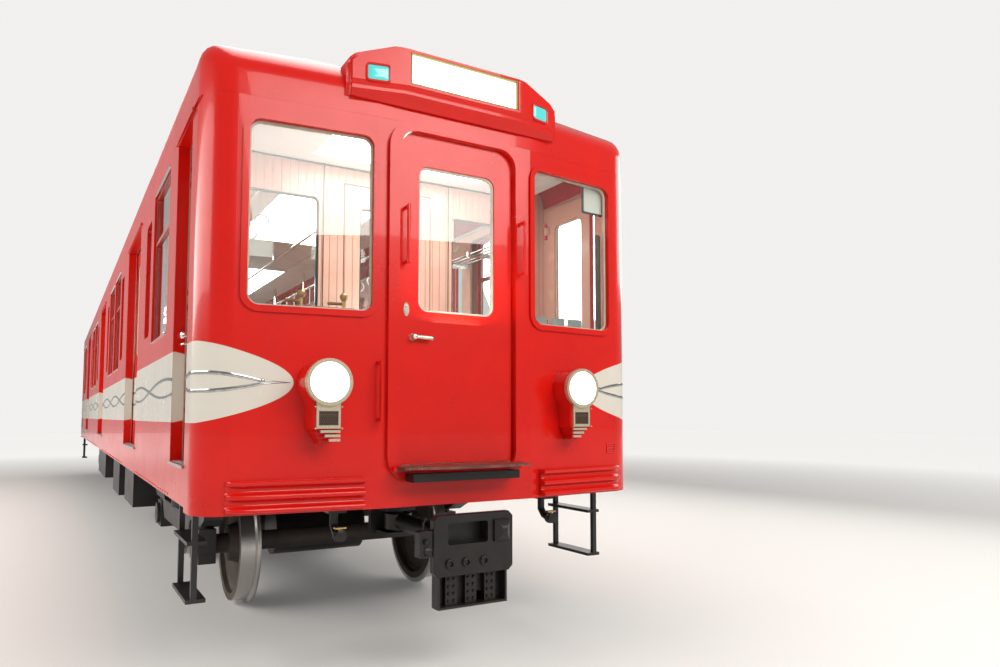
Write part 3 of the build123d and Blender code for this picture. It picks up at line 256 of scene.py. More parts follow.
def make_grain_group():
    """Rolled or brushed metal: fine lines stretched along one axis."""
    names = [("X scale", 4.0), ("Y scale", 60.0), ("Z scale", 60.0)]
    group, ends, out = new_group("metal_grain", names, ["Value"])
    scale = put(group, "ShaderNodeCombineXYZ", {axis: ends.outputs[axis] for axis in range(3)})
    stretched = {0: place_of(group), 1: scale.outputs[0]}
    place = put(group, "ShaderNodeVectorMath", stretched, operation="MULTIPLY").outputs[0]
    group.links.new(noise(group, place, 6.0, 4.0, 0.6), out.inputs["Value"])
    return group


BAND = make_band_group()
OUTER = make_outer_group()
ENAMEL = make_enamel_group()
GRIME = make_grime_group()
GRAIN = make_grain_group()


# Materials

RED = (0.70, 0.010, 0.005, 1)
RED_DEEP = (0.62, 0.008, 0.004, 1)
IVORY = (0.74, 0.70, 0.62, 1)
IVORY_OLD = (0.60, 0.55, 0.46, 1)
SALMON = (0.62, 0.33, 0.25, 1)
SALMON_PALE = (0.70, 0.42, 0.33, 1)
WHITE = (0.82, 0.82, 0.79, 1)


def shaded(name, rough=0.5, metal=0.0, coat=0.0, coat_rough=0.04, base=None):
    """A material with its shader set up; returns the material, its tree and the shader."""
    made = bpy.data.materials.new(name)
    made.use_nodes = True
    tree = made.node_tree
    shader = tree.nodes["Principled BSDF"]
    fix(shader, Roughness=rough, Metallic=metal, Coat_Weight=coat, Coat_Roughness=coat_rough)
    if base:
        fix(shader, Base_Color=base)
    return made, tree, shader


def bump(tree, shader, height, strength, distance):
    made = put(tree, "ShaderNodeBump", {"Height": height, "Strength": strength, "Distance": distance})
    wire(shader, Normal=made.outputs[0])


def enamel(name, side=1.330, end=NOSE_X - 0.042, tip=BAND_TIP_Y, full=BAND_FULL_Y, band=True,
           inside=SALMON):
    """Red body enamel with the white band outside, and cab paint on what faces inwards."""
    made, tree, shader = shaded(name, rough=0.24, coat=0.22, coat_rough=0.03)
    fix(shader, Specular_IOR_Level=0.26)
    skin = use_group(tree, ENAMEL, Waves=1.0, Peel=1.0)
    red = blend_colour(tree, spread(tree, skin.outputs["Shade"], 0.3, 0.7), RED, RED_DEEP)
    colour = red
    if band:
        shape = use_group(tree, BAND, Tip=tip, Full=full)
        age = maths(tree, "MULTIPLY", skin.outputs["Shade"], 0.25)
        ivory = blend_colour(tree, age, IVORY, IVORY_OLD)
        colour = blend_colour(tree, shape.outputs["Mask"], red, ivory)
    if inside:
        outer = use_group(tree, OUTER, Side=side, End=end)
        colour = blend_colour(tree, outer.outputs["Mask"], inside, colour)
    wire(shader, Base_Color=colour)
    wire(shader, Roughness=spread(tree, skin.outputs["Shade"], 0.2, 0.8, 0.20, 0.30))
    bump(tree, shader, skin.outputs["Height"], 0.35, 0.006)
    return made


def plain_paint(name, base, dark, rough, coat=0.0, scale=4.0):
    """Paint or laminate of one colour with soft variation and a fine skin."""
    made, tree, shader = shaded(name, rough=rough, coat=coat)
    place = place_of(tree)
    shade = noise(tree, place, scale, 5.0, 0.6)
    wire(shader, Base_Color=blend_colour(tree, spread(tree, shade, 0.35, 0.7), base, dark))
    wire(shader, Roughness=spread(tree, shade, 0.2, 0.8, rough - 0.06, rough + 0.08))
    bump(tree, shader, noise(tree, place, 130.0), 0.3, 0.0015)
    return made


def worked_metal(name, base, dark, rough=0.3, x_scale=4.0, y_scale=60.0, z_scale=60.0, metal=1.0,
                 strength=0.15):
    """Bare or plated metal with rolled or brushed lines."""
    made, tree, shader = shaded(name, rough=rough, metal=metal)
    grain = use_group(tree, GRAIN, X_scale=x_scale, Y_scale=y_scale, Z_scale=z_scale).outputs["Value"]
    wire(shader, Base_Color=blend_colour(tree, spread(tree, grain, 0.35, 0.7), base, dark))
    wire(shader, Roughness=spread(tree, grain, 0.3, 0.75, rough * 0.75, rough * 1.5))
    bump(tree, shader, grain, strength, 0.001)
    return made


def dirty_iron(name, base, dust, rough=0.55, metal=0.0, low=0.1, high=1.2, amount=0.8, scale=6.0,
               relief=0.0015):
    """Dark painted or oily iron under a coat of brake dust."""
    made, tree, shader = shaded(name, rough=rough, metal=metal)
    grime = use_group(tree, GRIME, Low=low, High=high, Scale=scale, Amount=amount)
    mask = grime.outputs["Mask"]
    wire(shader, Base_Color=blend_colour(tree, mask, base, dust),
         Roughness=spread(tree, mask, 0.0, 1.0, rough, min(rough + 0.3, 0.95)))
    bump(tree, shader, grime.outputs["Height"], 0.5, relief)
    return made


def make_window_glass():
    made, tree, shader = shaded("window_glass", rough=0.0, base=(0.90, 0.95, 0.93, 1))
    fix(shader, IOR=1.45, Transmission_Weight=1.0)
    smear = noise(tree, place_of(tree), 7.0, 4.0, 0.6)
    wire(shader, Roughness=spread(tree, smear, 0.5, 0.8, 0.0, 0.03))
    return made


def glowing(name, colour, strength, base=(0.9, 0.9, 0.88, 1)):
    """A lit lens: a faintly uneven glow under smooth glass or plastic."""
    made, tree, shader = shaded(name, rough=0.12, coat=0.5, base=base)
    shade = spread(tree, noise(tree, place_of(tree), 3.0), 0.2, 0.8, 0.85, 1.0)
    wire(shader, Emission_Color=blend_colour(tree, shade, (0, 0, 0, 1), colour))
    fix(shader, Emission_Strength=strength)
    return made


def make_wheel_steel():
    """Rolled wheel: bright running tread, brown disc."""
    made, tree, shader = shaded("wheel_steel", rough=0.4)
    part = axes(tree)
    away = None
    for centre in (BOGIE_X - WHEELBASE / 2, BOGIE_X + WHEELBASE / 2):
        offset = maths(tree, "SUBTRACT", maths(tree, "ABSOLUTE", part["X"]), centre)
        square = maths(tree, "MULTIPLY", offset, offset)
        away = square if away is None else maths(tree, "MINIMUM", away, square)
    drop = maths(tree, "SUBTRACT", part["Z"], AXLE_Z)
    radius = maths(tree, "SQRT", maths(tree, "ADD", away, maths(tree, "MULTIPLY", drop, drop)))
    tread = spread(tree, radius, 0.418, 0.423)
    grime = use_group(tree, GRIME, Low=0.0, High=0.9, Scale=9.0, Amount=0.9)
    disc = blend_colour(tree, grime.outputs["Mask"], (0.055, 0.045, 0.038, 1), (0.11, 0.075, 0.052, 1))
    wire(shader, Base_Color=blend_colour(tree, tread, disc, (0.46, 0.44, 0.42, 1)))
    wire(shader, Metallic=tread)
    wire(shader, Roughness=spread(tree, tread, 0.0, 1.0, 0.68, 0.26))
    bump(tree, shader, grime.outputs["Height"], 0.4, 0.0012)
    return made


def make_ribbed_paint():
    """Salmon cab paint with the shallow upright grooves of pressed panels, and painted shade darkening each
    groove.
    """
    made, tree, shader = shaded("cab_panel_paint", rough=0.38, coat=0.2)
    place = place_of(tree)
    part = axes(tree, place)
    wave = ripple(tree, part["Y"], 0.055)
    groove = spread(tree, wave, 0.90, 1.0, 1.0, 0.0)
    shade = noise(tree, place, 2.5, 4.0)
    paint = blend_colour(tree, spread(tree, shade, 0.3, 0.7), SALMON_PALE, SALMON)
    # Painted shade: the colour is darkened in each groove, where shade would fall.
    wire(shader, Base_Color=blend_colour(tree, groove, (0.36, 0.17, 0.12, 1), paint))
    bump(tree, shader, groove, 0.6, 0.002)
    return made


def make_seat_cloth():
    """Short-pile moquette in a plain wine red, with a fine weave."""
    made, tree, shader = shaded("seat_cloth", rough=0.9)
    place = place_of(tree)
    weave = put(tree, "ShaderNodeTexVoronoi", {"Vector": place, "Scale": 420.0}).outputs["Distance"]
    patch = noise(tree, place, 5.0, 4.0)
    faded = spread(tree, patch, 0.3, 0.7)
    cloth = blend_colour(tree, faded, (0.16, 0.018, 0.022, 1), (0.10, 0.012, 0.016, 1))
    pile = spread(tree, weave, 0.0, 0.5)
    wire(shader, Base_Color=blend_colour(tree, pile, cloth, (0.24, 0.04, 0.04, 1)))
    fix(shader, Sheen_Weight=0.35)
    bump(tree, shader, weave, 0.5, 0.0012)
    return made


def make_sign_glass():
    """Opal sheet of the sign, lit from behind, dimmer towards its ends and its top."""
    made, tree, shader = shaded("sign_glass", rough=0.15, coat=0.6, base=WHITE)
    part = axes(tree)
    glow = spread(tree, maths(tree, "ABSOLUTE", part["Y"]), 0.22, 0.36, 1.0, 0.62)
    low = spread(tree, part["Z"], 3.24, 3.43, 1.0, 0.86)
    sheet = maths(tree, "MULTIPLY", glow, low)
    opal = blend_colour(tree, sheet, (0.45, 0.42, 0.34, 1), (1.0, 0.99, 0.95, 1))
    wire(shader, Emission_Color=opal)
    fix(shader, Emission_Strength=1.1)
    return made


def make_step_top():
    """Reddish worn chequered tread of the step plates."""
    made, tree, shader = shaded("step_tread", rough=0.6)
    place = place_of(tree)
    diagonal = put(tree, "ShaderNodeMapping", {"Vector": place, "Rotation": (0, 0, pi / 4)}).outputs[0]
    part = axes(tree, diagonal)
    waves = [ripple(tree, part[axis], 0.022) for axis in ("X", "Y")]
    studs = spread(tree, maths(tree, "MULTIPLY", *waves), 0.15, 0.6)
    wear = noise(tree, place, 14.0, 5.0, 0.6)
    worn = blend_colour(tree, spread(tree, wear, 0.4, 0.65), (0.17, 0.045, 0.032, 1), (0.075, 0.03, 0.026, 1))
    rubbed = maths(tree, "MULTIPLY", studs, 0.6)
    wire(shader, Base_Color=blend_colour(tree, rubbed, worn, (0.32, 0.12, 0.09, 1)))
    bump(tree, shader, studs, 0.8, 0.002)
    return made


def make_grille_dark():
    """Brown bakelite of the lamp grille, with rows of small slots whose near-black colour is painted shade.
    """
    made, tree, shader = shaded("grille_brown", rough=0.4)
    part = axes(tree)
    slots = ripple(tree, part["Y"], 0.011)
    rows = ripple(tree, part["Z"], 0.026)
    mask = spread(tree, maths(tree, "MULTIPLY", slots, rows), 0.3, 0.6)
    # Painted shade: the slots are coloured near-black, standing in for the dark openings.
    brown = blend_colour(tree, mask, (0.07, 0.035, 0.018, 1), (0.012, 0.008, 0.006, 1))
    wire(shader, Base_Color=brown)
    bump(tree, shader, mask, 0.6, 0.002)
    return made


BODY = enamel("body_enamel")
ROOF = enamel("roof_enamel", band=False, inside=None)
FITTING_RED = enamel("fitting_enamel", band=False, inside=None)
LEAF = enamel("leaf_enamel", side=LEAF_INNER_Y + 0.004, tip=0.0, full=0.1)
END_LEAF = enamel("end_leaf_enamel", end=NOSE_X - 0.048, band=False)
RIB_RED = enamel("rib_enamel", band=False, inside=None)
CAB = make_ribbed_paint()
LINING = plain_paint("lining_laminate", SALMON_PALE, SALMON, 0.42, 0.1)
CEILING_WHITE = plain_paint("ceiling_white", WHITE, (0.70, 0.69, 0.66, 1), 0.6)
ALUMINIUM = worked_metal("satin_aluminium", (0.72, 0.72, 0.72, 1), (0.52, 0.52, 0.52, 1), 0.28)
CHROME = worked_metal("chrome_plate", (0.86, 0.87, 0.88, 1), (0.74, 0.75, 0.76, 1), 0.07, strength=0.04)
STRIP = worked_metal("trim_strip", (0.50, 0.50, 0.50, 1), (0.30, 0.29, 0.27, 1), 0.12, 30.0, 6.0, 6.0,
                     strength=0.05)
STEEL_SILL = worked_metal("sill_steel", (0.62, 0.62, 0.61, 1), (0.40, 0.39, 0.38, 1), 0.3)
BLACK_FRAME = dirty_iron("frame_black", (0.007, 0.007, 0.008, 1), (0.040, 0.036, 0.031, 1), 0.36, low=0.3,
                         high=1.3, amount=0.45)
BOGIE_IRON = dirty_iron("bogie_black", (0.011, 0.010, 0.010, 1), (0.058, 0.049, 0.040, 1), 0.42, low=0.0,
                        high=1.1)
COUPLER_IRON = dirty_iron("coupler_iron", (0.012, 0.011, 0.011, 1), (0.045, 0.036, 0.027, 1), 0.30, 0.35,
                          0.2, 1.2, 0.5, 9.0, 0.002)
WHEEL = make_wheel_steel()
LAMP_CREAM = worked_metal("lamp_cream", (0.62, 0.55, 0.40, 1), (0.50, 0.43, 0.30, 1), 0.26, metal=0.55,
                          strength=0.05)
GRILLE = make_grille_dark()
GLASS = make_window_glass()
LAMP_LENS = glowing("headlamp_lens", (1.0, 0.97, 0.90, 1), 2.4)
SIGN = make_sign_glass()
SEAT_FRAME = plain_paint("seat_frame_paint", (0.30, 0.31, 0.31, 1), (0.22, 0.22, 0.22, 1), 0.45)
CLOTH = make_seat_cloth()
PALE_SEAL = plain_paint("pale_seal", (0.60, 0.54, 0.44, 1), (0.46, 0.41, 0.33, 1), 0.55, scale=12.0)
BLACK_RUBBER = plain_paint("black_rubber", (0.022, 0.022, 0.022, 1), (0.035, 0.034, 0.032, 1), 0.6,
                           scale=12.0)
STEP_TREAD = make_step_top()
BRASS = worked_metal("brass_fitting", (0.55, 0.38, 0.14, 1), (0.34, 0.22, 0.08, 1), 0.3)
MARKER_LENS = glowing("marker_lens", (0.16, 0.85, 0.80, 1), 0.55, base=(0.03, 0.34, 0.33, 1))
STRAP_WHITE = plain_paint("strap_white", (0.78, 0.77, 0.72, 1), (0.62, 0.60, 0.54, 1), 0.5)
PLATE_BLANK = plain_paint("plate_ivory", (0.78, 0.76, 0.70, 1), (0.66, 0.64, 0.58, 1), 0.35)
FLOORING = plain_paint("floor_lino", (0.20, 0.085, 0.06, 1), (0.13, 0.055, 0.04, 1), 0.4)
SASH_RED = plain_paint("sash_enamel", (0.46, 0.045, 0.030, 1), (0.34, 0.030, 0.022, 1), 0.35, 0.3,
                       scale=9.0)
BODY_STUD = plain_paint("stud_enamel", RED, RED_DEEP, 0.3, 0.4, scale=20.0)
LEVER_CREAM = worked_metal("lever_cream", (0.72, 0.66, 0.54, 1), (0.56, 0.50, 0.38, 1), 0.20, metal=0.7,
                           strength=0.05)
BRONZE = worked_metal("dark_bronze", (0.16, 0.12, 0.09, 1), (0.09, 0.07, 0.05, 1), 0.42, metal=0.7)
SWITCH_GREY = plain_paint("switch_box_paint", (0.34, 0.38, 0.37, 1), (0.25, 0.28, 0.27, 1), 0.5)


def dress_nodes():
    """Gives each CAD node its finish."""
    finish = {
        "side_wall": BODY, "end_wall": BODY, "roof": ROOF, "rain_gutters": FITTING_RED,
        "end_mouldings": FITTING_RED, "end_housings": FITTING_RED, "end_ribs": RIB_RED,
        "handrails": FITTING_RED, "door_left": LEAF, "door_right": LEAF, "crew_door": LEAF,
        "end_door": END_LEAF, "underframe": BLACK_FRAME, "bogie_frame": BOGIE_IRON,
        "bogie_gear": BOGIE_IRON, "underfloor_gear": BLACK_FRAME, "coupler": COUPLER_IRON,
        "fall_plate": STEP_TREAD, "wheelset": WHEEL, "bulkheads": CAB, "cab_door": CAB,
        "cab_fittings": CAB, "linings": LINING, "ceiling": CEILING_WHITE, "sashes": SASH_RED,
        "door_sills": STEEL_SILL, "rails_and_racks": CHROME, "door_rails": ALUMINIUM,
        "door_hinges": FITTING_RED, "headlamps": LAMP_CREAM, "side_glass": GLASS,
        "end_glass": GLASS, "lamp_glasses": LAMP_LENS, "sign_faces": SIGN,
        "bench_frames": SEAT_FRAME, "bench_cushions": CLOTH,
    }
    for name, thing in nodes.items():
        for start, made in finish.items():
            if name.startswith(start):
                thing.data.materials.clear()
                thing.data.materials.append(made)


# Shapes

def facing(origin, across, up=UP):
    """A matrix whose columns are across, up and outward, with its origin at a point."""
    across, up = Vector(across).normalized(), Vector(up).normalized()
    basis = Matrix((across, up, across.cross(up))).transposed()
    return Matrix.Translation(origin) @ basis.to_4x4()


SWEPT_FACE = facing((NOSE_X, FOLD_Y, 0), (-sin(SWEEP), cos(SWEEP), 0))
SIDE_FACE = facing((0, 0, 0), (-1, 0, 0))


def on_face(depth, y, z):
    """A place on a plane square to the car; its own axes run across, up and outward."""
    return facing((depth, y, z), (0, 1, 0))


def rounded(low, high, radius, steps=5):
    """Outline of a rectangle with round corners, from its low and high corners, anticlockwise."""
    points = []
    corners = [(high[0], high[1], 0), (low[0], high[1], 1), (low[0], low[1], 2), (high[0], low[1], 3)]
    for x, y, quarter in corners:
        cx = x - radius if x == high[0] else x + radius
        cy = y - radius if y == high[1] else y + radius
        for n in range(steps + 1):
            angle = (quarter + n / steps) * pi / 2
            points.append((cx + radius * cos(angle), cy + radius * sin(angle)))
    return points


def turns_of(count):
    """Equal angles round a circle."""
    return [2 * pi * n / count for n in range(count)]


def bands(rows, across, closed=False):
    """Faces between rows of points, each row a closed section."""
    faces = []
    for r in range(rows if closed else rows - 1):
        here, after = r * across, (r + 1) % rows * across
        for c in range(across):
            beside = (c + 1) % across
            faces.append((here + c, here + beside, after + beside, after + c))
    return faces


class Shape:
    """Points and faces of one piece, gathered from simple parts."""

    def __init__(self):
        self.points = []
        self.faces = []

    def add(self, points, faces, place=None):
        start = len(self.points)
        self.points += [(place @ Vector(p)) if place else Vector(p) for p in points]
        self.faces += [tuple(start + index for index in face) for face in faces]
        return self

    def join(self, other, place=None):
        return self.add(other.points, other.faces, place)

    def grid(self, rows, place=None, closed=False):
        """Skins rows of points; each row is a closed section, and an open run gets two caps."""
        across = len(rows[0])
        points = [p for row in rows for p in row]
        faces = bands(len(rows), across, closed)
        if not closed:
            last = (len(rows) - 1) * across
            faces.append(tuple(range(across))[::-1])
            faces.append(tuple(range(last, last + across)))
        return self.add(points, faces, place)

    def plate(self, outline, low, high, place):
        """A flat plate of the given outline between two depths."""
        return self.grid([[(u, v, w) for u, v in outline] for w in (low, high)], place)

    def ring(self, outline, profile, place):
        """A profile run round a closed flat outline; profile points are (outward, depth)."""
        count = len(outline)
        rows = []
        for n, (u, v) in enumerate(outline):
            before, after = outline[n - 1], outline[(n + 1) % count]
            du, dv = after[0] - before[0], after[1] - before[1]
            size = hypot(du, dv) or 1.0
            out_u, out_v = dv / size, -du / size
            rows.append([(u + out_u * a, v + out_v * a, b) for a, b in profile])
        return self.grid(rows, place, True)

    def pipe(self, path, radius, sides=12, closed=False, place=None):
        """A round bar along a path of points."""
        path = [Vector(p) for p in path]
        count = len(path)
        rows = []
        side = None
        for n, point in enumerate(path):
            before = path[n - 1] if (closed or n) else path[0]
            after = path[(n + 1) % count] if (closed or n < count - 1) else path[-1]
            along = (after - before).normalized()
            if side is None:
                side = along.orthogonal() if abs(along.z) > 0.9 else along.cross(UP)
                side.normalize()
            side = (side - along * side.dot(along)).normalized()
            other = along.cross(side)
            rows.append([point + side * cos(a) * radius + other * sin(a) * radius for a in turns_of(sides)])
        return self.grid(rows, place, closed)

    def block(self, low, high, place=None):
        """A box between two corners."""
        outline = [(low[0], low[1]), (high[0], low[1]), (high[0], high[1]), (low[0], high[1])]
        return self.plate(outline, low[2], high[2], place or SAME)

    def turned_on(self, profile, place, sides=24):
        """A solid of revolution about the depth axis; profile points are (radius, depth)."""
        rows = [[(r * cos(a), r * sin(a), w) for r, w in profile] for a in turns_of(sides)]
        return self.grid(rows, place, True)

    def mesh(self, name, angle=35, bevel=0.0, segments=2):
        data = bpy.data.meshes.new(name)
        data.from_pydata(self.points, [], self.faces)
        work = bmesh.new()
        work.from_mesh(data)
        bmesh.ops.remove_doubles(work, verts=work.verts, dist=1e-6)
        bmesh.ops.recalc_face_normals(work, faces=work.faces)
        if bevel:
            paired = [edge for edge in work.edges if len(edge.link_faces) == 2]
            sharp = [edge for edge in paired if edge.calc_face_angle(0) > radians(30)]
            bmesh.ops.bevel(work, geom=sharp, offset=bevel, segments=segments, affect="EDGES",
                            clamp_overlap=True)
        work.to_mesh(data)
        work.free()
        data.shade_smooth()
        data.set_sharp_from_angle(angle=radians(angle))
        return data


def turned(shape, turn=None):
    """The same shape in another place."""
    return Shape().join(shape, turn)


def at_both_sides(shape):
    return turned(shape).join(shape, MIRROR_Y)


def at_both_ends(shape):
    return turned(shape).join(shape, HALF_TURN)


def at_corners(shape):
    return at_both_ends(at_both_sides(shape))


def piece(name, shape, made, body="car_body", angle=35, bevel=0.0):
    """Turns a shape into an object that rides on a body."""
    data = shape.mesh(name, angle, bevel) if isinstance(shape, Shape) else shape
    thing = place_object(name, data)
    data.materials.clear()
    data.materials.append(made)
    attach(thing, body)
    return thing


# Panes and seals of the doors

PANE_INSET = 0.018


def pane_with_seal(low, high, radius, place):
    """A pane and the rubber strip round it, for an opening between two corners of a flat face."""
    outline = rounded(low, high, radius)
    pane = Shape().plate(outline, -0.003, 0.003, place)
    profile = [(-0.013, -0.010), (-0.0005, -0.010), (-0.0005, 0.010), (-0.009, 0.010), (-0.013, 0.006)]
    return pane, Shape().ring(outline, profile, place)


def hang_pane(name, parts, turn, rubber=PALE_SEAL):
    """A door's pane and seal, turned to its place and riding on it."""
    pane, seal = parts
    piece(f"{name}_pane", turned(pane, turn), GLASS, name)
    piece(f"{name}_seal", turned(seal, turn), rubber, body=name)


def add_leaf_panes():
    """Panes and seals of the twelve sliding leaves and four crew doors."""
    leaf_plane = LEAF_OUTER_Y - PANE_INSET
    for number, centre in enumerate(DOORWAYS):
        for letter, way in (("a", 1), ("b", -1)):
            middle = -(centre + way * DOORWAY_WIDTH / 4)
            place = SIDE_FACE @ Matrix.Translation((middle, 0, leaf_plane))
            parts = pane_with_seal((-0.2, 1.996), (0.2, 2.880), 0.06, place)
            for side, turn in SIDES:
                hang_pane(f"door_{side}_{number + 1}{letter}", parts, turn)
    place = SIDE_FACE @ Matrix.Translation((-sum(CREW_DOOR_X) / 2, 0, leaf_plane))
    parts = pane_with_seal((-0.17, 1.93), (0.17, 2.88), 0.06, place)
    for where, turn in QUARTERS:
        hang_pane(f"crew_door_{where}", parts, turn)


def add_end_panes():
    """Panes and seals of the end doors, cab doors and bulkheads, and seals of the end windows."""
    door = pane_with_seal((-0.247, 1.996), (0.247, 2.834), 0.06, on_face(NOSE_X - 0.032, 0, 0))
    cab_door = pane_with_seal((-0.21, 2.0), (0.21, 2.85), 0.04, on_face(BULKHEAD_X + 0.017, 0, 0))
    for end, turn in ENDS:
        hang_pane(f"end_door_{end}", door, turn)
        hang_pane(f"cab_door_{end}", cab_door, turn, BLACK_RUBBER)
    pane, seal = pane_with_seal((0.5, 2.0), (1.12, 2.88), 0.04, on_face(BULKHEAD_X + 0.02, 0, 0))
    piece("bulkhead_panes", at_corners(pane), GLASS)
    piece("bulkhead_seals", at_corners(seal), BLACK_RUBBER)
    outline = rounded((0.025, 1.973), (0.673, 2.940), 0.06)
    profile = [(-0.011, -0.038), (-0.0003, -0.038), (-0.0003, -0.018), (-0.006, -0.018),
               (-0.011, -0.022)]
    piece("end_window_seals", at_corners(Shape().ring(outline, profile, SWEPT_FACE)), PALE_SEAL)


# Trim on the painted band

CORNER_R = 0.19
SIDE_CROSSINGS = [0.75, 2.30, 3.75, 5.20, 6.60, 8.26]
WAVE_HEIGHT = 0.056
WAVE_GAP = 0.004
STRIP_HEIGHT = 0.046
CORNER_X = NOSE_X - (HALF_W - FOLD_Y) * tan(SWEEP)
CORNER_RUN = CORNER_R * tan((pi / 2 - SWEEP) / 2)
ARC_X = CORNER_X - CORNER_RUN
ARC_TURN = pi / 2 - SWEEP
PANEL_EDGE_Y = HALF_W - CORNER_RUN * cos(SWEEP)
CORNER_STEPS = 12


def corner_place(turn):
    """A point on the round corner and its normal, at a turn from the side to the swept panel."""
    normal = Vector((sin(turn), cos(turn), 0))
    return Vector((ARC_X, HALF_W - CORNER_R, 0)) + normal * CORNER_R, normal


def panel_place(y):
    """A point on the swept panel at a distance from the car's middle, and its normal."""
    return Vector((NOSE_X - (y - FOLD_Y) * tan(SWEEP), y, 0)), Vector((cos(SWEEP), sin(SWEEP), 0))


def strand_height(x):
    """How far the two strands of the side's wave lie from the band's middle line."""
    if x > SIDE_CROSSINGS[-1]:
        part = (x - SIDE_CROSSINGS[-1]) / (ARC_X - SIDE_CROSSINGS[-1])
        return STRIP_HEIGHT * sin(pi / 2 * min(part, 1.0))
    stops = [-SIDE_CROSSINGS[0]] + SIDE_CROSSINGS
    for number, (low, high) in enumerate(zip(stops, stops[1:])):
        if low <= x <= high:
            way = 1 if number % 2 else -1
            return way * WAVE_HEIGHT * sin(pi * (x - low) / (high - low))
    return 0.0


def strip_height(y):
    """How far the end's two strips lie from the band's middle line."""
    return max(STRIP_HEIGHT * (1 - (max(1.36 - y, 0.0) / 0.30) ** 1.7), 0.006)


RIBBON_PROFILE = [(-1.0, -0.2), (1.0, -0.2), (0.86, 0.55), (0.4, 0.93), (-0.4, 0.93), (-0.86, 0.55)]


def ribbon(path, half, thick):
    """A crowned strip along a path; each stop is a point, a normal and a part of the half width."""
    rows = []
    count = len(path)
    for n, (point, normal, part) in enumerate(path):
        before, after = path[max(n - 1, 0)][0], path[min(n + 1, count - 1)][0]
        side = normal.cross(after - before).normalized()
        rows.append([point + side * half * part * u + normal * thick * w for u, w in RIBBON_PROFILE])
    return Shape().grid(rows)


def side_strands(low, high, y, thick):
    """Both strands of the wave between two places along the side."""
    steps = max(int((high - low) / 0.03), 2)
    both = Shape()
    for way in (-1, 1):
        path = []
        for n in range(steps + 1):
            x = low + (high - low) * n / steps
            lift = 0.0006 if way > 0 else 0.0
            place = Vector((x, y + lift, BAND_Z + way * strand_height(x)))
            path.append((place, Vector((0, 1, 0)), 1.0))
        both.join(ribbon(path, 0.011, thick))
    return both


def end_strips():
    """The two strips round the corner, closing to a point on the swept panel."""
    both = Shape()
    for way in (-1, 1):
        path = []
        for n in range(CORNER_STEPS + 1):
            point, normal = corner_place(ARC_TURN * n / CORNER_STEPS)
            height = strip_height(PANEL_EDGE_Y + CORNER_R * ARC_TURN * (1 - n / CORNER_STEPS))
            path.append((point + UP * (BAND_Z + way * height), normal, 1.0))
        for n in range(1, 15):
            y = PANEL_EDGE_Y - (PANEL_EDGE_Y - 1.075) * n / 14
            point, normal = panel_place(y)
            height = BAND_Z + way * strip_height(y)
            path.append((point + UP * height, normal, 1.0 - 0.35 * (n / 14) ** 2))
        both.join(ribbon(path, 0.010, 0.004))
        tip, normal = panel_place(0.945)
        start = panel_place(1.09)[0]
        line = []
        for n in range(7):
            along = start.lerp(tip, n / 6)
            height = BAND_Z + way * 0.010 * (1 - n / 6)
            line.append((along + UP * height, normal, 1.0 - 0.6 * n / 6))
        both.join(ribbon(line, 0.0032, 0.0022))
    point, normal = panel_place(1.082)
    knob = facing(point + UP * (BAND_Z + 0.007), (-sin(SWEEP), cos(SWEEP), 0))
    profile = [(0.0001, -0.001), (0.011, -0.001), (0.011, 0.003), (0.008, 0.007), (0.0001, 0.0085)]
    return both.join(Shape().turned_on(profile, knob, 20))


def add_band_trim():
    """Bright strips and the two-strand wave, each stretch on the body that carries it."""
    edge, far, crew = DOORWAY_WIDTH / 2, DOORWAYS[2], CREW_DOOR_X
    walls = [(edge, far - edge), (far + edge, crew[0]), (crew[1], ARC_X)]
    wall_run = end_strips()
    for low, high in walls:
        wall_run.join(side_strands(low, high, HALF_W, 0.004))
    leaf_run = {
        "2a": (WAVE_GAP, edge), "3b": (far - edge, far - WAVE_GAP), "3a": (far + WAVE_GAP, far + edge),
    }
    swapped = {"2a": "2b", "3b": "1a", "3a": "1b"}
    whole = Shape()
    for where, turn in QUARTERS:
        whole.join(wall_run, turn)
        end, side = where.split("_")
        for leaf, (low, high) in leaf_run.items():
            name = f"door_{side}_{leaf if end == 'front' else swapped[leaf]}"
            run = turned(side_strands(low, high, LEAF_OUTER_Y, 0.0025), turn)
            piece(f"{name}_wave", run, STRIP, name)
        name = f"crew_door_{where}"
        run = side_strands(crew[0] + 0.008, crew[1] - 0.008, LEAF_OUTER_Y, 0.0025)
        piece(f"{name}_wave", turned(run, turn), STRIP, name)
    piece("band_trim", whole, STRIP)


# Rivets, screws and bolts

def new_tree(name, sockets):
    """A geometry tree that starts from a mesh of points; returns it with its inputs."""
    tree = bpy.data.node_groups.new(name, "GeometryNodeTree")
    for label, kind, value in [("Points", "Geometry", None)] + sockets + [("Finish", "Material", None)]:
        socket = tree.interface.new_socket(name=label, in_out="INPUT", socket_type=f"NodeSocket{kind}")
        if value is not None:
            socket.default_value = value
    tree.interface.new_socket(name="Pieces", in_out="OUTPUT", socket_type="NodeSocketGeometry")
    return tree, tree.nodes.new("NodeGroupInput").outputs


def copy_to_points(tree, ends, shape, **turn):
    """Ends a tree: the shape on every point, as real faces with their finish."""
    inputs = {"Points": ends["Points"], "Instance": shape, **turn}
    placed = put(tree, "GeometryNodeInstanceOnPoints", inputs)
    real = put(tree, "GeometryNodeRealizeInstances", {0: placed.outputs[0]})
    inputs = {"Geometry": real.outputs[0], "Material": ends["Finish"]}
    done = put(tree, "GeometryNodeSetMaterial", inputs)
    tree.links.new(done.outputs[0], tree.nodes.new("NodeGroupOutput").inputs[0])
    return tree


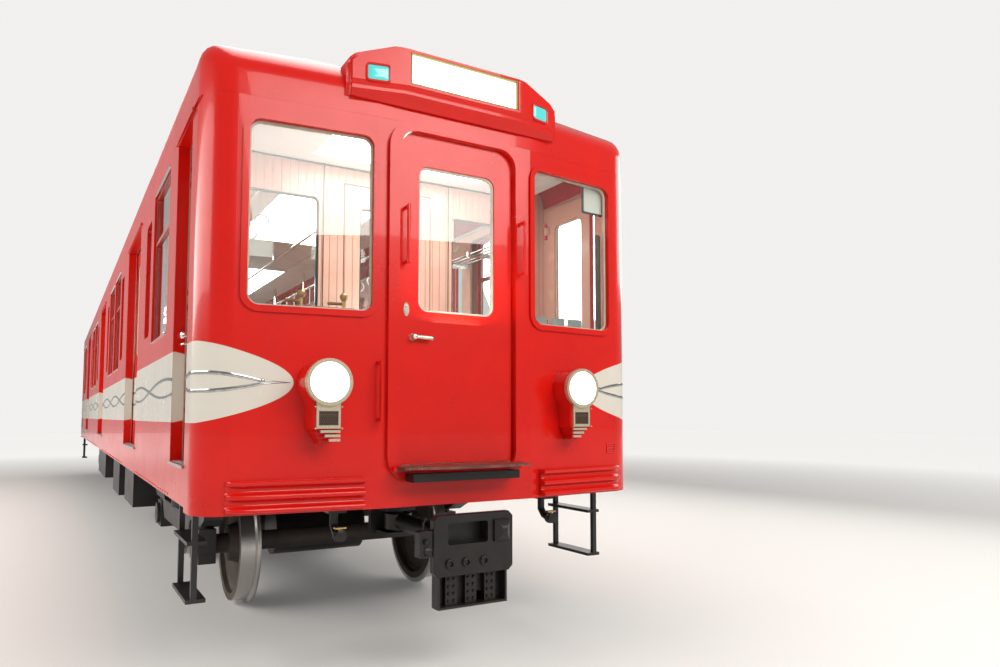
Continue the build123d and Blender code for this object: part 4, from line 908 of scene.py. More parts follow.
def make_fastener_tree():
    """One head on every point of a mesh, turned along the point's aim."""
    tree, ends = new_tree("fastener_heads", [
        ("Radius", "Float", 0.006), ("Height", "Float", 0.004), ("Top", "Float", 0.6), ("Sides", "Int", 10),
    ])
    head = put(tree, "GeometryNodeMeshCone", {
        "Vertices": ends["Sides"], "Radius Top": maths(tree, "MULTIPLY", ends["Radius"], ends["Top"]),
        "Radius Bottom": ends["Radius"], "Depth": ends["Height"],
    })
    aim = put(tree, "GeometryNodeInputNamedAttribute", {"Name": "aim"}, data_type="FLOAT_VECTOR")
    turn = put(tree, "FunctionNodeAlignRotationToVector", {"Vector": aim.outputs[0]}, axis="Z")
    return copy_to_points(tree, ends, head.outputs[0], Rotation=turn.outputs[0])


FASTENERS = make_fastener_tree()


def run_tree(name, data, tree, values):
    """Evaluates a geometry tree on a mesh and returns the plain mesh that it makes."""
    carrier = place_object(f"{name}_carrier", data)
    modifier = carrier.modifiers.new("rows", "NODES")
    modifier.node_group = tree
    inputs = [item for item in tree.interface.items_tree if item.in_out == "INPUT"]
    sockets = {item.name: item.identifier for item in inputs}
    for label, value in values.items():
        modifier[sockets[label]] = value
    plain = settled(carrier)
    bpy.data.objects.remove(carrier)
    bpy.data.meshes.remove(data)
    plain.name = name
    return plain


def points_mesh(name, spots):
    """A mesh of loose points that carry the way each head faces."""
    data = bpy.data.meshes.new(f"{name}_points")
    data.from_pydata([spot for spot, aim in spots], [], [])
    layer = data.attributes.new("aim", "FLOAT_VECTOR", "POINT")
    layer.data.foreach_set("vector", [value for spot, aim in spots for value in aim])
    return data


def fasten(name, spots, made, radius, height, top=0.6, sides=10):
    """Rows of rivets, screws or bolts as one piece."""
    values = {"Radius": radius, "Height": height, "Top": top, "Sides": sides, "Finish": made}
    data = run_tree(name, points_mesh(name, spots), FASTENERS, values)
    data.shade_smooth()
    data.set_sharp_from_angle(angle=radians(50 if sides > 6 else 25))
    piece(name, data, made)


def moved(spots, turn):
    """The same heads at another corner or end."""
    return [(turn @ Vector(spot), turn.to_3x3() @ Vector(aim)) for spot, aim in spots]


def at_all_quarters(spots):
    return [spot for where, turn in QUARTERS for spot in moved(spots, turn)]


def at_two_ends(spots):
    return [spot for end, turn in ENDS for spot in moved(spots, turn)]


def circle_spots(centre, radius, count, aim, first=0.0):
    """Points round a circle that faces a direction."""
    aim = Vector(aim).normalized()
    side = aim.orthogonal().normalized()
    other = aim.cross(side)
    turns = [first + turn for turn in turns_of(count)]
    return [(Vector(centre) + side * cos(a) * radius + other * sin(a) * radius, aim) for a in turns]


# Fittings of the ends

LAMP_Y = 0.796
LAMP_Z = 1.580
LAMP_FACE = 8.8758
LAMP_RIM_FRONT = 8.8858
LAMP_LENS_FRONT = 8.8828
DOOR_FACE = NOSE_X - 0.012


def on_panel(y, z, out=0.0):
    """A place on the left swept panel."""
    point, normal = panel_place(y)
    return facing(point + normal * out + UP * z, (-sin(SWEEP), cos(SWEEP), 0))


def make_lever():
    """Cream-plated lever with a round rose, over the end door's own spindle."""
    lever = Shape()
    y, z = -0.283, 1.849
    rose = [(0.0001, 0.0), (0.021, 0.0), (0.021, 0.004), (0.017, 0.009), (0.0145, 0.012),
            (0.0145, 0.043), (0.010, 0.046), (0.0001, 0.047)]
    lever.turned_on(rose, on_face(DOOR_FACE, y, z), 28)
    rows = []
    for n in range(13):
        part = n / 12
        along = y + 0.006 + part * 0.103
        half_high = 0.0098 + 0.0022 * sin(part * pi) + (0.002 if n > 10 else 0.0)
        centre = (DOOR_FACE + 0.033, z - 0.004 * part)
        rows.append([(centre[0] + 0.0092 * cos(a), along, centre[1] + half_high * sin(a))
                     for a in turns_of(14)])
    return lever.grid(rows)


def make_keyhole_plate():
    """Oval plate on the end door, with a drop-shaped keyhole cover."""
    place = on_face(DOOR_FACE, -0.322, 2.0)
    oval = [(0.017 * cos(a), 0.040 * sin(a) * (1.0 if sin(a) > 0 else 0.9)) for a in turns_of(28)]
    plate = Shape().plate(oval, -0.001, 0.004, place)
    drop = [(0.010 * cos(a) * (1 - 0.25 * max(sin(a), 0)), -0.006 + 0.021 * sin(a))
            for a in turns_of(20)]
    plate.plate(drop, 0.003, 0.0075, place)
    profile = [(0.0001, 0.003), (0.0055, 0.003), (0.0055, 0.009), (0.0035, 0.011), (0.0001, 0.0115)]
    return plate.turned_on(profile, place @ Matrix.Translation((0, 0.020, 0)), 14)


def make_louvre():
    """Small enamelled vent on the left swept panel: a frame with three sloping blades."""
    place = on_panel(1.185, 1.20)
    outline = rounded((-0.040, -0.032), (0.040, 0.032), 0.006)
    edge = [(0.0, -0.001), (0.0, 0.006), (-0.007, 0.006), (-0.007, -0.001)]
    vent = Shape().ring(outline, edge, place)
    for n in range(3):
        low = -0.022 + n * 0.017
        rows = [[(-0.034, low, w), (0.034, low, w), (0.034, low + high, w), (-0.034, low + high, w)]
                for w, high in ((-0.001, 0.012), (0.006, 0.003))]
        vent.grid(rows, place)
    return vent


def make_grille():
    """Brown plate in the lamp's lower frame, with two rows of pegs over five bars."""
    place = on_face(LAMP_FACE - 0.0118, LAMP_Y, 0)
    plate = Shape().plate(rounded((-0.0565, 1.3625), (0.0565, 1.4405), 0.003), 0.0, 0.004, place)
    for low, high, half in ((1.424, 1.434, 0.0022), (1.399, 1.404, 0.0016)):
        for n in range(13):
            at = -0.048 + 0.096 * n / 12
            plate.block((at - half, low, 0.003), (at + half, high, 0.0065), place)
    for n in range(5):
        low = 1.366 + n * 0.0065
        plate.block((-0.050, low, 0.003), (0.050, low + 0.0025, 0.006), place)
    return plate


def make_lens_dome():
    """Domed cover glass of the left lamp, in front of its flat lens."""
    place = on_face(LAMP_LENS_FRONT, LAMP_Y, LAMP_Z)
    profile = [(0.0001, 0.0105), (0.030, 0.0098), (0.060, 0.0078), (0.085, 0.0042), (0.0985, 0.0008)]
    profile += [(0.0985, -0.0006), (0.0001, -0.0006)]
    return Shape().turned_on(profile, place, 40)


def make_sign_frame():
    """Thin gilt frame in the sign's recess."""
    place = on_face(NOSE_X + 0.1, 0, 0)
    outline = rounded((-0.3535, 3.2425), (0.3535, 3.4275), 0.004)
    profile = [(0.0, -0.016), (0.0, -0.003), (-0.004, -0.001), (-0.009, -0.004), (-0.010, -0.0155)]
    return Shape().ring(outline, profile, place)


def make_number_board():
    """Blank ivory board with a black edge behind the left front window."""
    place = on_panel(1.094, 2.857, -0.055)
    outline = rounded((-0.100, -0.090), (0.100, 0.090), 0.006)
    board = Shape().plate(outline, -0.003, 0.003, place)
    profile = [(0.006, -0.005), (0.006, 0.005), (-0.006, 0.005), (-0.006, -0.005)]
    edge = Shape().ring(outline, profile, place)
    for at in (-0.075, 0.075):
        edge.block((at - 0.006, 0.09, -0.003), (at + 0.006, 0.155, 0.001), place)
    return board, edge


def make_window_grid():
    """Dark strip with rows of round studs, inside the left front window."""
    place = on_panel(1.13, 2.30, -0.055)
    strip = Shape().plate(rounded((-0.024, -0.33), (0.024, 0.33), 0.012), -0.002, 0.002, place)
    for n in range(26):
        for column in (-0.011, 0.0, 0.011):
            height = -0.30 + n * 0.024
            strip.turned_on([(0.0001, 0.001), (0.0042, 0.001), (0.0036, 0.0034), (0.0001, 0.0034)],
                            place @ Matrix.Translation((column, height, 0)), 6)
    return strip


def make_crew_latch():
    """Chrome latch of the front left crew door: plate, knob and a small lever."""
    place = SIDE_FACE @ Matrix.Translation((-(CREW_DOOR_X[0] + 0.055), 1.86, LEAF_OUTER_Y))
    latch = Shape().plate(rounded((-0.022, -0.055), (0.022, 0.055), 0.010), -0.0005, 0.004, place)
    profile = [(0.0001, 0.003), (0.012, 0.003), (0.012, 0.022), (0.023, 0.028), (0.024, 0.040),
               (0.016, 0.047), (0.0001, 0.049)]
    latch.turned_on(profile, place @ Matrix.Translation((0, 0.022, 0)), 20)
    path = [(0, -0.028, 0.003), (0, -0.028, 0.030), (0.008, -0.031, 0.036), (0.055, -0.036, 0.037)]
    return latch.pipe(path, 0.006, 10, place=place)


def add_end_fittings():
    """Levers, plates, vents, grilles, lamp glasses, boards, latches and screws."""
    lever, keyhole, latch = make_lever(), make_keyhole_plate(), make_crew_latch()
    board, edge = make_number_board()
    for end, turn in ENDS:
        door = f"end_door_{end}"
        piece(f"{door}_lever", turned(lever, turn), LEVER_CREAM, door)
        piece(f"{door}_keyhole", turned(keyhole, turn), LEVER_CREAM, door)
    piece("end_vents", at_both_ends(make_louvre()), BODY_STUD)
    piece("sign_frames", at_both_ends(make_sign_frame()), BRASS)
    piece("lamp_grilles", at_corners(make_grille()), GRILLE)
    piece("lamp_domes", at_corners(make_lens_dome()), GLASS)
    piece("number_boards", at_both_ends(board), PLATE_BLANK)
    piece("number_board_edges", at_both_ends(edge), BLACK_RUBBER)
    piece("window_grids", at_both_ends(make_window_grid()), BRONZE)
    for where, turn in QUARTERS:
        name = f"crew_door_{where}"
        piece(f"{name}_latch", turned(latch, turn), CHROME, name, bevel=0.0006)
    screws = circle_spots((LAMP_RIM_FRONT, LAMP_Y, LAMP_Z), 0.111, 3, (1, 0, 0), 0.6)
    screws += [(Vector((LAMP_FACE, LAMP_Y + y, z)), (1, 0, 0))
               for y in (-0.068, 0.068) for z in (1.346, 1.455)]
    fasten("lamp_screws", at_all_quarters(screws), CHROME, 0.0055, 0.004, 0.7, 12)
    studs = []
    for y, z in ((0.711, 1.694), (0.647, 1.637), (0.741, 1.647)):
        spot, normal = panel_place(y)
        studs.append((spot + UP * z, normal))
    fasten("panel_studs", at_two_ends(studs), BODY_STUD, 0.007, 0.006, 0.55, 12)


# Forms of the ends

SIGN_PROUD_X = NOSE_X + 0.1
SIGN_FOLD_Y = 0.375
SIGN_SWEEP = radians(13)
# The hood's outline seen from the front, from its foot round to its top: across, height
SIGN_OUTLINE = [(0.690, 3.205), (0.690, 3.340), (0.642, 3.383), (0.430, 3.453)]
SIGN_FOOT_DROP = 0.085
MARKER_AT = (0.530, 3.275)
MARKER_HALF = (0.059, 0.042)
POD_FRONT = 8.8558
HOSE_YS = [-0.68, 0.66]
RIB_PROFILE_STEPS = 8
# Profile of one round contact: radius, depth
CONTACT = [(0.0001, 0), (0.008, 0), (0.008, 0.007), (0.006, 0.010), (0.0001, 0.010)]


def sign_front(y):
    """Distance along the car of the hood's front at a distance across."""
    return SIGN_PROUD_X - max(abs(y) - SIGN_FOLD_Y, 0.0) * tan(SIGN_SWEEP)


def carve(data, cutter):
    """A mesh with a shape cut out of it."""
    body, tool = place_object("carved", data), place_object("cutter", cutter.mesh("cutter"))
    cut = body.modifiers.new("cut", "BOOLEAN")
    cut.operation, cut.object, cut.solver = "DIFFERENCE", tool, "EXACT"
    result = settled(body)
    bpy.data.objects.remove(body)
    bpy.data.objects.remove(tool)
    result.set_sharp_from_angle(angle=radians(32))
    return result


def marker_place():
    """The left marker lamp's middle on the hood's cheek."""
    y, z = MARKER_AT
    across = (-sin(SIGN_SWEEP), cos(SIGN_SWEEP), 0)
    return facing((sign_front(y), y, z), across)


def make_sign_hood():
    """The folded hood on the brow, with recesses for the sign and the two marker lamps."""
    half = [(SIGN_FOLD_Y, 3.205)] + SIGN_OUTLINE + [(SIGN_FOLD_Y, 3.453)]
    outline = half + [(-y, z) for y, z in reversed(half)]
    rows = [[(x, y, z - (SIGN_FOOT_DROP if z < 3.21 else 0.0)) for y, z in outline] for x in (8.52, 8.752)]
    rows.append([(sign_front(y), y, z) for y, z in outline])
    count, cheek = len(outline), len(half)
    front = 2 * count
    faces = bands(3, count)
    faces.append(tuple(range(count))[::-1])
    faces.append(tuple(front + n for n in range(cheek)))
    faces.append(tuple(front + n for n in range(cheek, count)))
    faces.append((front + cheek - 1, front + cheek, front + count - 1, front))
    data = Shape().add([p for row in rows for p in row], faces).mesh("sign_hood", 32, 0.026, 5)
    recess = rounded((-0.354, 3.242), (0.354, 3.428), 0.003)
    data = carve(data, Shape().plate(recess, -0.026, 0.02, on_face(SIGN_PROUD_X, 0, 0)))
    outline = rounded((-MARKER_HALF[0], -MARKER_HALF[1]), MARKER_HALF, 0.014)
    hole = Shape().plate(outline, -0.024, 0.03, marker_place())
    for side, flip in SIDES:
        data = carve(data, turned(hole, flip))
    return data


def make_marker():
    """Raised rim and domed lens of the left marker lamp."""
    low, high = (-MARKER_HALF[0], -MARKER_HALF[1]), MARKER_HALF
    profile = [(0.012, -0.004), (0.010, 0.007), (0.004, 0.009), (-0.001, 0.006), (-0.001, -0.020)]
    rim = Shape().ring(rounded(low, high, 0.014), profile, marker_place())
    outline = rounded((low[0] + 0.001, low[1] + 0.001), (high[0] - 0.001, high[1] - 0.001), 0.013)
    domed = ((1.0, -0.020), (1.0, 0.000), (0.93, 0.0055), (0.80, 0.0085), (0.5, 0.0105))
    rows = [[(u * part, v * part, out) for u, v in outline] for part, out in domed]
    return rim, Shape().grid(rows, marker_place())


def make_sign_panel():
    """The blank sign glass behind the gilt frame."""
    place = on_face(SIGN_PROUD_X - 0.026, 0, 0)
    outline = rounded((-0.3535, 3.2425), (0.3535, 3.4275), 0.003)
    return Shape().plate(outline, 0.0005, 0.010, place)


def make_lamp_pod():
    """Body-coloured pod behind the left headlamp, with three steps back at its foot."""
    place = on_face(0, LAMP_Y, 0)
    pod = Shape().turned_on([(0.0001, 8.69), (0.119, 8.69), (0.119, POD_FRONT), (0.0001, POD_FRONT)],
                            Matrix.Translation((0, 0, LAMP_Z)) @ place, 44)
    neck = [(-0.110, 1.545), (-0.075, 1.466), (-0.075, 1.336), (0.075, 1.336), (0.075, 1.466), (0.110, 1.545)]
    pod.plate(neck, 8.69, POD_FRONT, place)
    steps = ((0.057, 1.310, 1.338, 0.018), (0.044, 1.290, 1.312, 0.036), (0.030, 1.266, 1.292, 0.052))
    for half, low, high, back in steps:
        pod.block((-half, low, 8.69), (half, high, POD_FRONT - back), place)
    return pod


def make_ribs():
    """Left anti-climbing ribs: three ridges with hollows between, rounded off at their outer end."""
    profile = [(0.929, -0.02), (0.929, 0.054), (0.933, 0.060)]
    for n in range(3):
        low = 0.929 + n * 0.067
        profile += [(low + 0.018, 0.060)] if n == 2 else [(low + 0.017, 0.060), (low + 0.022, 0.056)]
        if n < 2:
            middle = low + 0.0445
            for k in range(1, RIB_PROFILE_STEPS):
                turn = pi * k / RIB_PROFILE_STEPS
                profile.append((middle - 0.0215 * cos(turn), 0.050 - 0.024 * sin(turn)))
            profile += [(low + 0.067, 0.056), (low + 0.072, 0.060)]
    profile += [(1.085, 0.054), (1.085, -0.02)]
    rows = []
    stops = [0.560, 0.563] + [0.60 + 0.1 * n for n in range(6)] + [1.15 + 0.0125 * n for n in range(9)]
    for y in stops:
        outer = 1.0 if y < 1.15 else sqrt(max(1 - ((y - 1.15) / 0.1005) ** 2, 0.0))
        inner = 0.94 if y < 0.562 else 1.0
        point, normal = panel_place(y)
        rows.append([point + normal * (out * outer * inner if out > 0 else out) + UP * z
                     for z, out in profile])
    return Shape().grid(rows)


def make_coupler():
    """The front coupler: its carved head, and the eye, shank, horn, ports and contact box."""
    place = on_face(0, 0, COUPLER_Z)
    core = Shape()
    eye = [(0.0001, -0.055), (0.084, -0.055), (0.089, -0.049), (0.089, 0.049), (0.084, 0.055),
           (0.0001, 0.055)]
    core.turned_on(eye, Matrix.Translation((7.90, 0, COUPLER_Z)), 36)
    rows = []
    for x, part in ((8.79, 0.5), (8.905, 0.9), (8.905, 1.0), (8.946, 1.0), (8.950, 0.985)):
        w, h, cut = 0.245 * part, 0.163 * part, 0.026
        corners = [(w - cut, -h), (w, -h + cut), (w, h - cut), (w - cut, h)]
        corners += [(-u, -v) for u, v in corners]
        rows.append([(u, v, x) for u, v in corners])
    head = Shape().grid(rows, place).mesh("coupler_head", 30)
    mouth = rounded((-0.161, 0.003), (0.084, 0.119), 0.014)
    head = carve(head, Shape().plate(mouth, 8.86, 8.96, place))
    core.pipe([(7.95, 0, COUPLER_Z), (8.80, 0, COUPLER_Z)], 0.055, 24)
    horn = [(0.119, 0.003), (0.215, 0.003), (0.215, 0.119), (0.119, 0.119)]
    u0, v0 = 0.167, 0.061
    rows = [[(u0 + (u - u0) * part, v0 + (v - v0) * part, x) for u, v in horn]
            for x, part in ((8.945, 1.0), (8.965, 1.0), (8.990, 0.55), (8.998, 0.30))]
    core.grid(rows, place)
    port = [(0.010, -0.002), (0.026, -0.002), (0.026, 0.011), (0.022, 0.014), (0.014, 0.014),
            (0.011, 0.004), (0.010, 0.004)]
    plug = [(0.0001, -0.001), (0.0095, -0.001), (0.0095, 0.003), (0.0001, 0.003)]
    for y in (-0.150, -0.050, 0.060):
        spot = on_face(8.95, y, COUPLER_Z - 0.095)
        core.turned_on(port, spot, 24)
        core.turned_on(plug, spot, 16)
    core.join(make_contact_box())
    core.plate(rounded((-0.322, -0.055), (-0.247, 0.085), 0.010), 8.875, 8.938, place)
    knob = [(0.0001, 0.0), (0.016, 0.0), (0.016, 0.020), (0.010, 0.026), (0.0001, 0.026)]
    core.turned_on(knob, on_face(8.936, -0.285, COUPLER_Z + 0.03), 16)
    bail = [(8.905, -0.285, 0.085), (8.905, -0.285, 0.125), (8.89, -0.262, 0.145)]
    core.pipe([(x, y, COUPLER_Z + z) for x, y, z in bail], 0.007, 10)
    pin = [(0.0001, 0.244), (0.020, 0.244), (0.020, 0.262), (0.030, 0.268), (0.030, 0.292),
           (0.018, 0.300), (0.0001, 0.300)]
    core.turned_on(pin, facing((8.92, 0, COUPLER_Z - 0.02), (1, 0, 0), (0, 0, 1)) @ HALF_TURN, 16)
    return head, core


def make_contact_box():
    """Open-fronted box under the coupler's head, with rows of contacts inside."""
    box = Shape()
    top, low, half, back, front, skin = 0.567, 0.383, 0.2125, 8.86, 8.938, 0.012
    box.block((back, -half, low), (back + skin, half, top))
    box.block((back + skin, -half, low), (front, half, low + skin))
    box.block((back + skin, -half, low + skin), (front, -half + skin, top))
    box.block((back + skin, half - skin, low + skin), (front, half, top))
    box.block((back + skin, -half + skin, top - skin), (front, half - skin, top))
    for y in (-0.120, 0.0, 0.120):
        box.block((back + skin, y - 0.035, low + skin), (front - 0.030, y + 0.035, top - skin))
        for row in range(4):
            for column in range(2):
                spot = on_face(front - 0.031, y - 0.016 + column * 0.032, low + 0.036 + row * 0.038)
                box.turned_on(CONTACT, spot, 10)
    return box


def make_coupler_gear():
    """Pipes beside the front coupler with their clamps, and the step plate's black bracket."""
    gear = Shape()
    gear.block((8.776, -0.335, 1.054), (8.884, 0.335, 1.100))
    for y in HOSE_YS:
        gear.block((8.60, y - 0.05, 0.895), (8.69, y + 0.05, 0.935))
    for y in HOSE_YS:
        gear.pipe([(8.62, y, 0.92), (8.62, y, 0.83), (8.655, y, 0.795), (8.705, y, 0.785)], 0.022, 14)
    return gear


def make_hose_ends():
    """Brass-topped cocks on the two train pipes."""
    ends = Shape()
    profile = [(0.0001, 0.0), (0.030, 0.0), (0.034, 0.006), (0.034, 0.020), (0.026, 0.026),
               (0.026, 0.040), (0.031, 0.044), (0.031, 0.052), (0.018, 0.056), (0.0001, 0.056)]
    tops = Shape()
    for y in HOSE_YS:
        ends.turned_on(profile, on_face(8.700, y, 0.785), 24)
        tops.block((8.706, y - 0.030, 0.820), (8.740, y + 0.030, 0.828))
        tops.pipe([(8.723, y, 0.800), (8.723, y, 0.822)], 0.009, 12)
    return ends, tops


def add_end_forms():
    """Hoods, lamp pods, ribs and couplers in the shapes that show, in place of their plainer solids."""
    hood = make_sign_hood()
    other = hood.copy()
    other.transform(HALF_TURN)
    first = piece("sign_hood_front", hood, FITTING_RED)
    piece("sign_hood_rear", other, FITTING_RED)
    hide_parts("end_housings")
    piece("lamp_pods", at_corners(make_lamp_pod()), FITTING_RED, bevel=0.004)
    rim, lens = make_marker()
    piece("marker_rims", at_corners(rim), FITTING_RED)
    panel = piece("sign_panels", at_both_ends(make_sign_panel()), SIGN)
    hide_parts("sign_faces")
    piece("marker_lenses", at_corners(lens), MARKER_LENS)
    ribs = piece("rib_sets", at_corners(make_ribs()), RIB_RED, angle=40)
    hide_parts("end_ribs")
    head, rest = make_coupler()
    for end, turn in ENDS:
        own = head.copy()
        own.transform(turn)
        body = f"coupler_{end}"
        made = piece(f"{body}_head", own, COUPLER_IRON, body)
        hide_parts(f"coupler_{end}")
        parts = turned(rest, turn)
        piece(f"{body}_parts", parts, COUPLER_IRON, body, bevel=0.0015)
    gear = at_both_ends(make_coupler_gear())
    piece("end_pipes", gear, COUPLER_IRON, bevel=0.003)
    cocks, tops = make_hose_ends()
    piece("hose_ends", at_both_ends(cocks), COUPLER_IRON, bevel=0.001)
    piece("hose_cock_tops", at_both_ends(tops), BRASS, bevel=0.001)


# Roof

ROOF_FOOT_Z = 3.0605
ROOF_R = 0.14
SIDE_SHOULDER_Z = 3.245
BROW_Z = 3.185
ROOF_SKIN = 0.045
ROOF_INSETS = [0.0, 0.003, 0.012, 0.027, 0.049, 0.075, 0.105, 0.14, 0.18, 0.22, 0.26, 0.30, 0.36, 0.45,
               0.555, 0.75, 1.0, 1.2, 1.39]
VENT_COUNT = 7
VENT_PITCH = 2.0
VENT_FOOT_Z = 3.420
VENT_TOP_Z = 3.5225


def eased(away, foot, stops):
    """Height of a roof profile: a quarter round from its foot, then straight runs between stops."""
    if away < stops[0][0]:
        return foot + sqrt(max(ROOF_R ** 2 - (ROOF_R - max(away, 0.0)) ** 2, 0.0))
    for (x0, z0), (x1, z1) in zip(stops, stops[1:]):
        if away <= x1:
            return z0 + (z1 - z0) * (away - x0) / (x1 - x0)
    return stops[-1][1]


def side_roof(away):
    """Height of the roof at a distance in from the side."""
    return eased(away, SIDE_SHOULDER_Z, [(0.125, 3.3812), (0.555, 3.430), (1.395, 3.450)])


def brow_roof(away):
    """Height of the brow at a distance in from the end."""
    return eased(away, BROW_Z, [(0.049, 3.2919), (0.09, 3.327), (0.33, 3.500), (3.0, 3.56)])


def softer_of(a, b, reach=0.05):
    """The lower of two heights, with the crease between them eased."""
    near = max(reach - abs(a - b), 0.0) / reach
    return min(a, b) - near * near * reach / 4


def roof_quarter(inset):
    """Front left quarter of the roof's outline, drawn in: points with the brow's part in them."""
    corner_r = max(CORNER_R - inset, 0.0)
    if inset <= CORNER_R:
        centre = Vector((ARC_X, HALF_W - CORNER_R))
    else:
        y = HALF_W - inset
        drawn = inset / (cos(SWEEP) if y > FOLD_Y else 1.0)
        centre = Vector((NOSE_X - max(y - FOLD_Y, 0.0) * tan(SWEEP) - drawn, y))
    points = []
    for part in (0.0, 0.3, 0.55, 0.75, 0.87, 0.93, 0.97, 0.99):
        points.append((centre.x * part, HALF_W - inset, 0.0))
    for n in range(CORNER_STEPS + 1):
        turn = ARC_TURN * n / CORNER_STEPS
        ease = 0.5 - 0.5 * cos(pi * n / CORNER_STEPS)
        points.append((centre.x + corner_r * sin(turn), centre.y + corner_r * cos(turn), ease))
    last_x, last_y = points[-1][:2]
    fold_y = min(FOLD_Y - inset * (1 / cos(SWEEP) - 1) / tan(SWEEP), last_y)
    for n in range(1, 8):
        part = n / 7
        x = last_x + (NOSE_X - inset - last_x) * part
        points.append((x, last_y + (fold_y - last_y) * part, 1.0))
    points += [(NOSE_X - inset, fold_y * 0.5, 1.0), (NOSE_X - inset, 0.0, 1.0)]
    return points


def roof_height(inset, x, y, brow):
    """Height of a point of the roof: the side's and the brow's heights mixed round the corner."""
    side, front = side_roof(inset), brow_roof(inset)
    from_end = (NOSE_X - max(abs(y) - FOLD_Y, 0.0) * tan(SWEEP) - abs(x)) * cos(SWEEP)
    mixed = side * (1 - brow) + front * brow
    return min(mixed, softer_of(side_roof(HALF_W - abs(y)), brow_roof(from_end)))


def make_roof():
    """The car's roof: square shoulders along the sides and a brow that slopes back over each end."""
    rings = []
    for inset in ROOF_INSETS:
        quarter = [(x, y, roof_height(inset, x, y, brow)) for x, y, brow in roof_quarter(inset)]
        front = quarter + [(x, -y, z) for x, y, z in reversed(quarter[:-1])]
        rings.append(front + [(-x, -y, z) for x, y, z in front[1:-1]])
    rings = [[(x, y, ROOF_FOOT_Z) for x, y, z in rings[0]]] + rings
    count = len(rings[0])
    faces = bands(len(rings), count)
    faces.append(tuple((len(rings) - 1) * count + c for c in range(count)))
    skin = Shape().add([p for ring in rings for p in ring], faces)
    form = place_object("roof_form", skin.mesh("roof_form", 60))
    thick = form.modifiers.new("thick", "SOLIDIFY")
    thick.thickness, thick.offset = ROOF_SKIN, -1.0
    data = settled(form)
    bpy.data.objects.remove(form)
    data.set_sharp_from_angle(angle=radians(50))
    return data


def make_vents():
    """Low ventilator covers along the middle of the roof."""
    vents = Shape()
    for n in range(VENT_COUNT):
        x = VENT_PITCH * (n - (VENT_COUNT - 1) / 2)
        rows = []
        for z, part in ((VENT_FOOT_Z, 0.0), (3.500, 0.0), (3.514, 0.006), (VENT_TOP_Z, 0.022)):
            outline = rounded((x - 0.55 + part, -0.38 + part), (x + 0.55 - part, 0.38 - part), 0.05)
            rows.append([(u, v, z) for u, v in outline])
        vents.grid(rows)
        for side in (-1, 1):
            for slot in range(6):
                low = x - 0.45 + slot * 0.155
                edges = sorted((side * 0.3775, side * 0.384))
                vents.block((low, edges[0], 3.492), (low + 0.125, edges[1], 3.500))
    return vents


def add_roof():
    roof = piece("roof_skin", make_roof(), ROOF)
    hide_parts("roof")
    piece("roof_vents", make_vents(), ROOF)


# Fittings of the sides

def make_sill_nosing(low, high):
    """Bright folded nosing on the outer edge of a doorway's tread."""
    top = FLOOR_Z + 0.0135
    outline = [(-0.004, FLOOR_Z - 0.004), (0.0105, FLOOR_Z - 0.004), (0.0115, FLOOR_Z + 0.002),
               (0.0105, FLOOR_Z + 0.0115), (-0.060, top), (-0.060, FLOOR_Z + 0.0105),
               (-0.0005, FLOOR_Z + 0.0105)]
    nosing = Shape().grid([[(x, HALF_W + out, z) for out, z in outline] for x in (low, high)])
    for n in range(3):
        y = HALF_W + (-0.016 - n * 0.014)
        nosing.pipe([(low + 0.01, y, top), (high - 0.01, y, top)], 0.0022, 8)
    return nosing


def make_window_lip(low, high, sill, top):
    """Bright bead at the sill of a big side window and a drip over its head."""
    lip = Shape()
    for z, reach, part in ((sill + 0.004, 0.010, 0.007), (top - 0.004, 0.008, 0.006)):
        profile = [(-0.004, z - part), (reach, z - part * 0.6), (reach, z + part * 0.3), (-0.004, z + part)]
        rows = [[(x, HALF_W + out - 0.002, height) for out, height in profile]
                for x in (low + 0.04, high - 0.04)]
        lip.grid(rows)
    return lip


SIDE_WINDOWS = [(1.6, 2.44), (2.56, 3.40), (6.60, 7.46)]
SIDE_SILL_Z = 1.930
RIVET_Z = 0.957
RIVET_COUNT = 150
RIVET_REACH = 8.3


def add_side_fittings():
    """Sill nosings, window lips and the row of rivets along the foot of each side."""
    doorways = [(centre - DOORWAY_WIDTH / 2, centre + DOORWAY_WIDTH / 2) for centre in DOORWAYS]
    doorways += [CREW_DOOR_X, (-CREW_DOOR_X[1], -CREW_DOOR_X[0])]
    nosings, lips = Shape(), Shape()
    for low, high in doorways:
        nosings.join(make_sill_nosing(low, high))
    for low, high in SIDE_WINDOWS:
        for x0, x1 in ((low, high), (-high, -low)):
            lips.join(make_window_lip(x0, x1, SIDE_SILL_Z, OPENING_TOP_Z))
    piece("sill_nosings", at_both_sides(nosings), STEEL_SILL, bevel=0.0008)
    piece("window_lips", at_both_sides(lips), CHROME, bevel=0.0006)
    rows = []
    for n in range(RIVET_COUNT):
        x = -RIVET_REACH + n * (2 * RIVET_REACH / (RIVET_COUNT - 1))
        if all(not low - 0.03 < x < high + 0.03 for low, high in doorways):
            rows.append((Vector((x, HALF_W, RIVET_Z)), (0, 1, 0)))
    fasten("side_rivets", rows + moved(rows, MIRROR_Y), BODY_STUD, 0.007, 0.005, 0.5, 10)


# Inside the saloon and the cabs

def make_strap(drop):
    """A round hand strap: a webbing loop over the rail and a ring below."""
    strap = Shape()
    ring = [(0, 0.048 * sin(a), -drop + 0.048 * cos(a)) for a in turns_of(18)]
    strap.pipe(ring, 0.0075, 7, closed=True)
    strap.block((-0.010, -0.0035, -drop + 0.045), (0.010, 0.0035, 0.010))
    strap.pipe([(-0.017, 0, 0), (0.017, 0, 0)], 0.021, 10)
    return strap


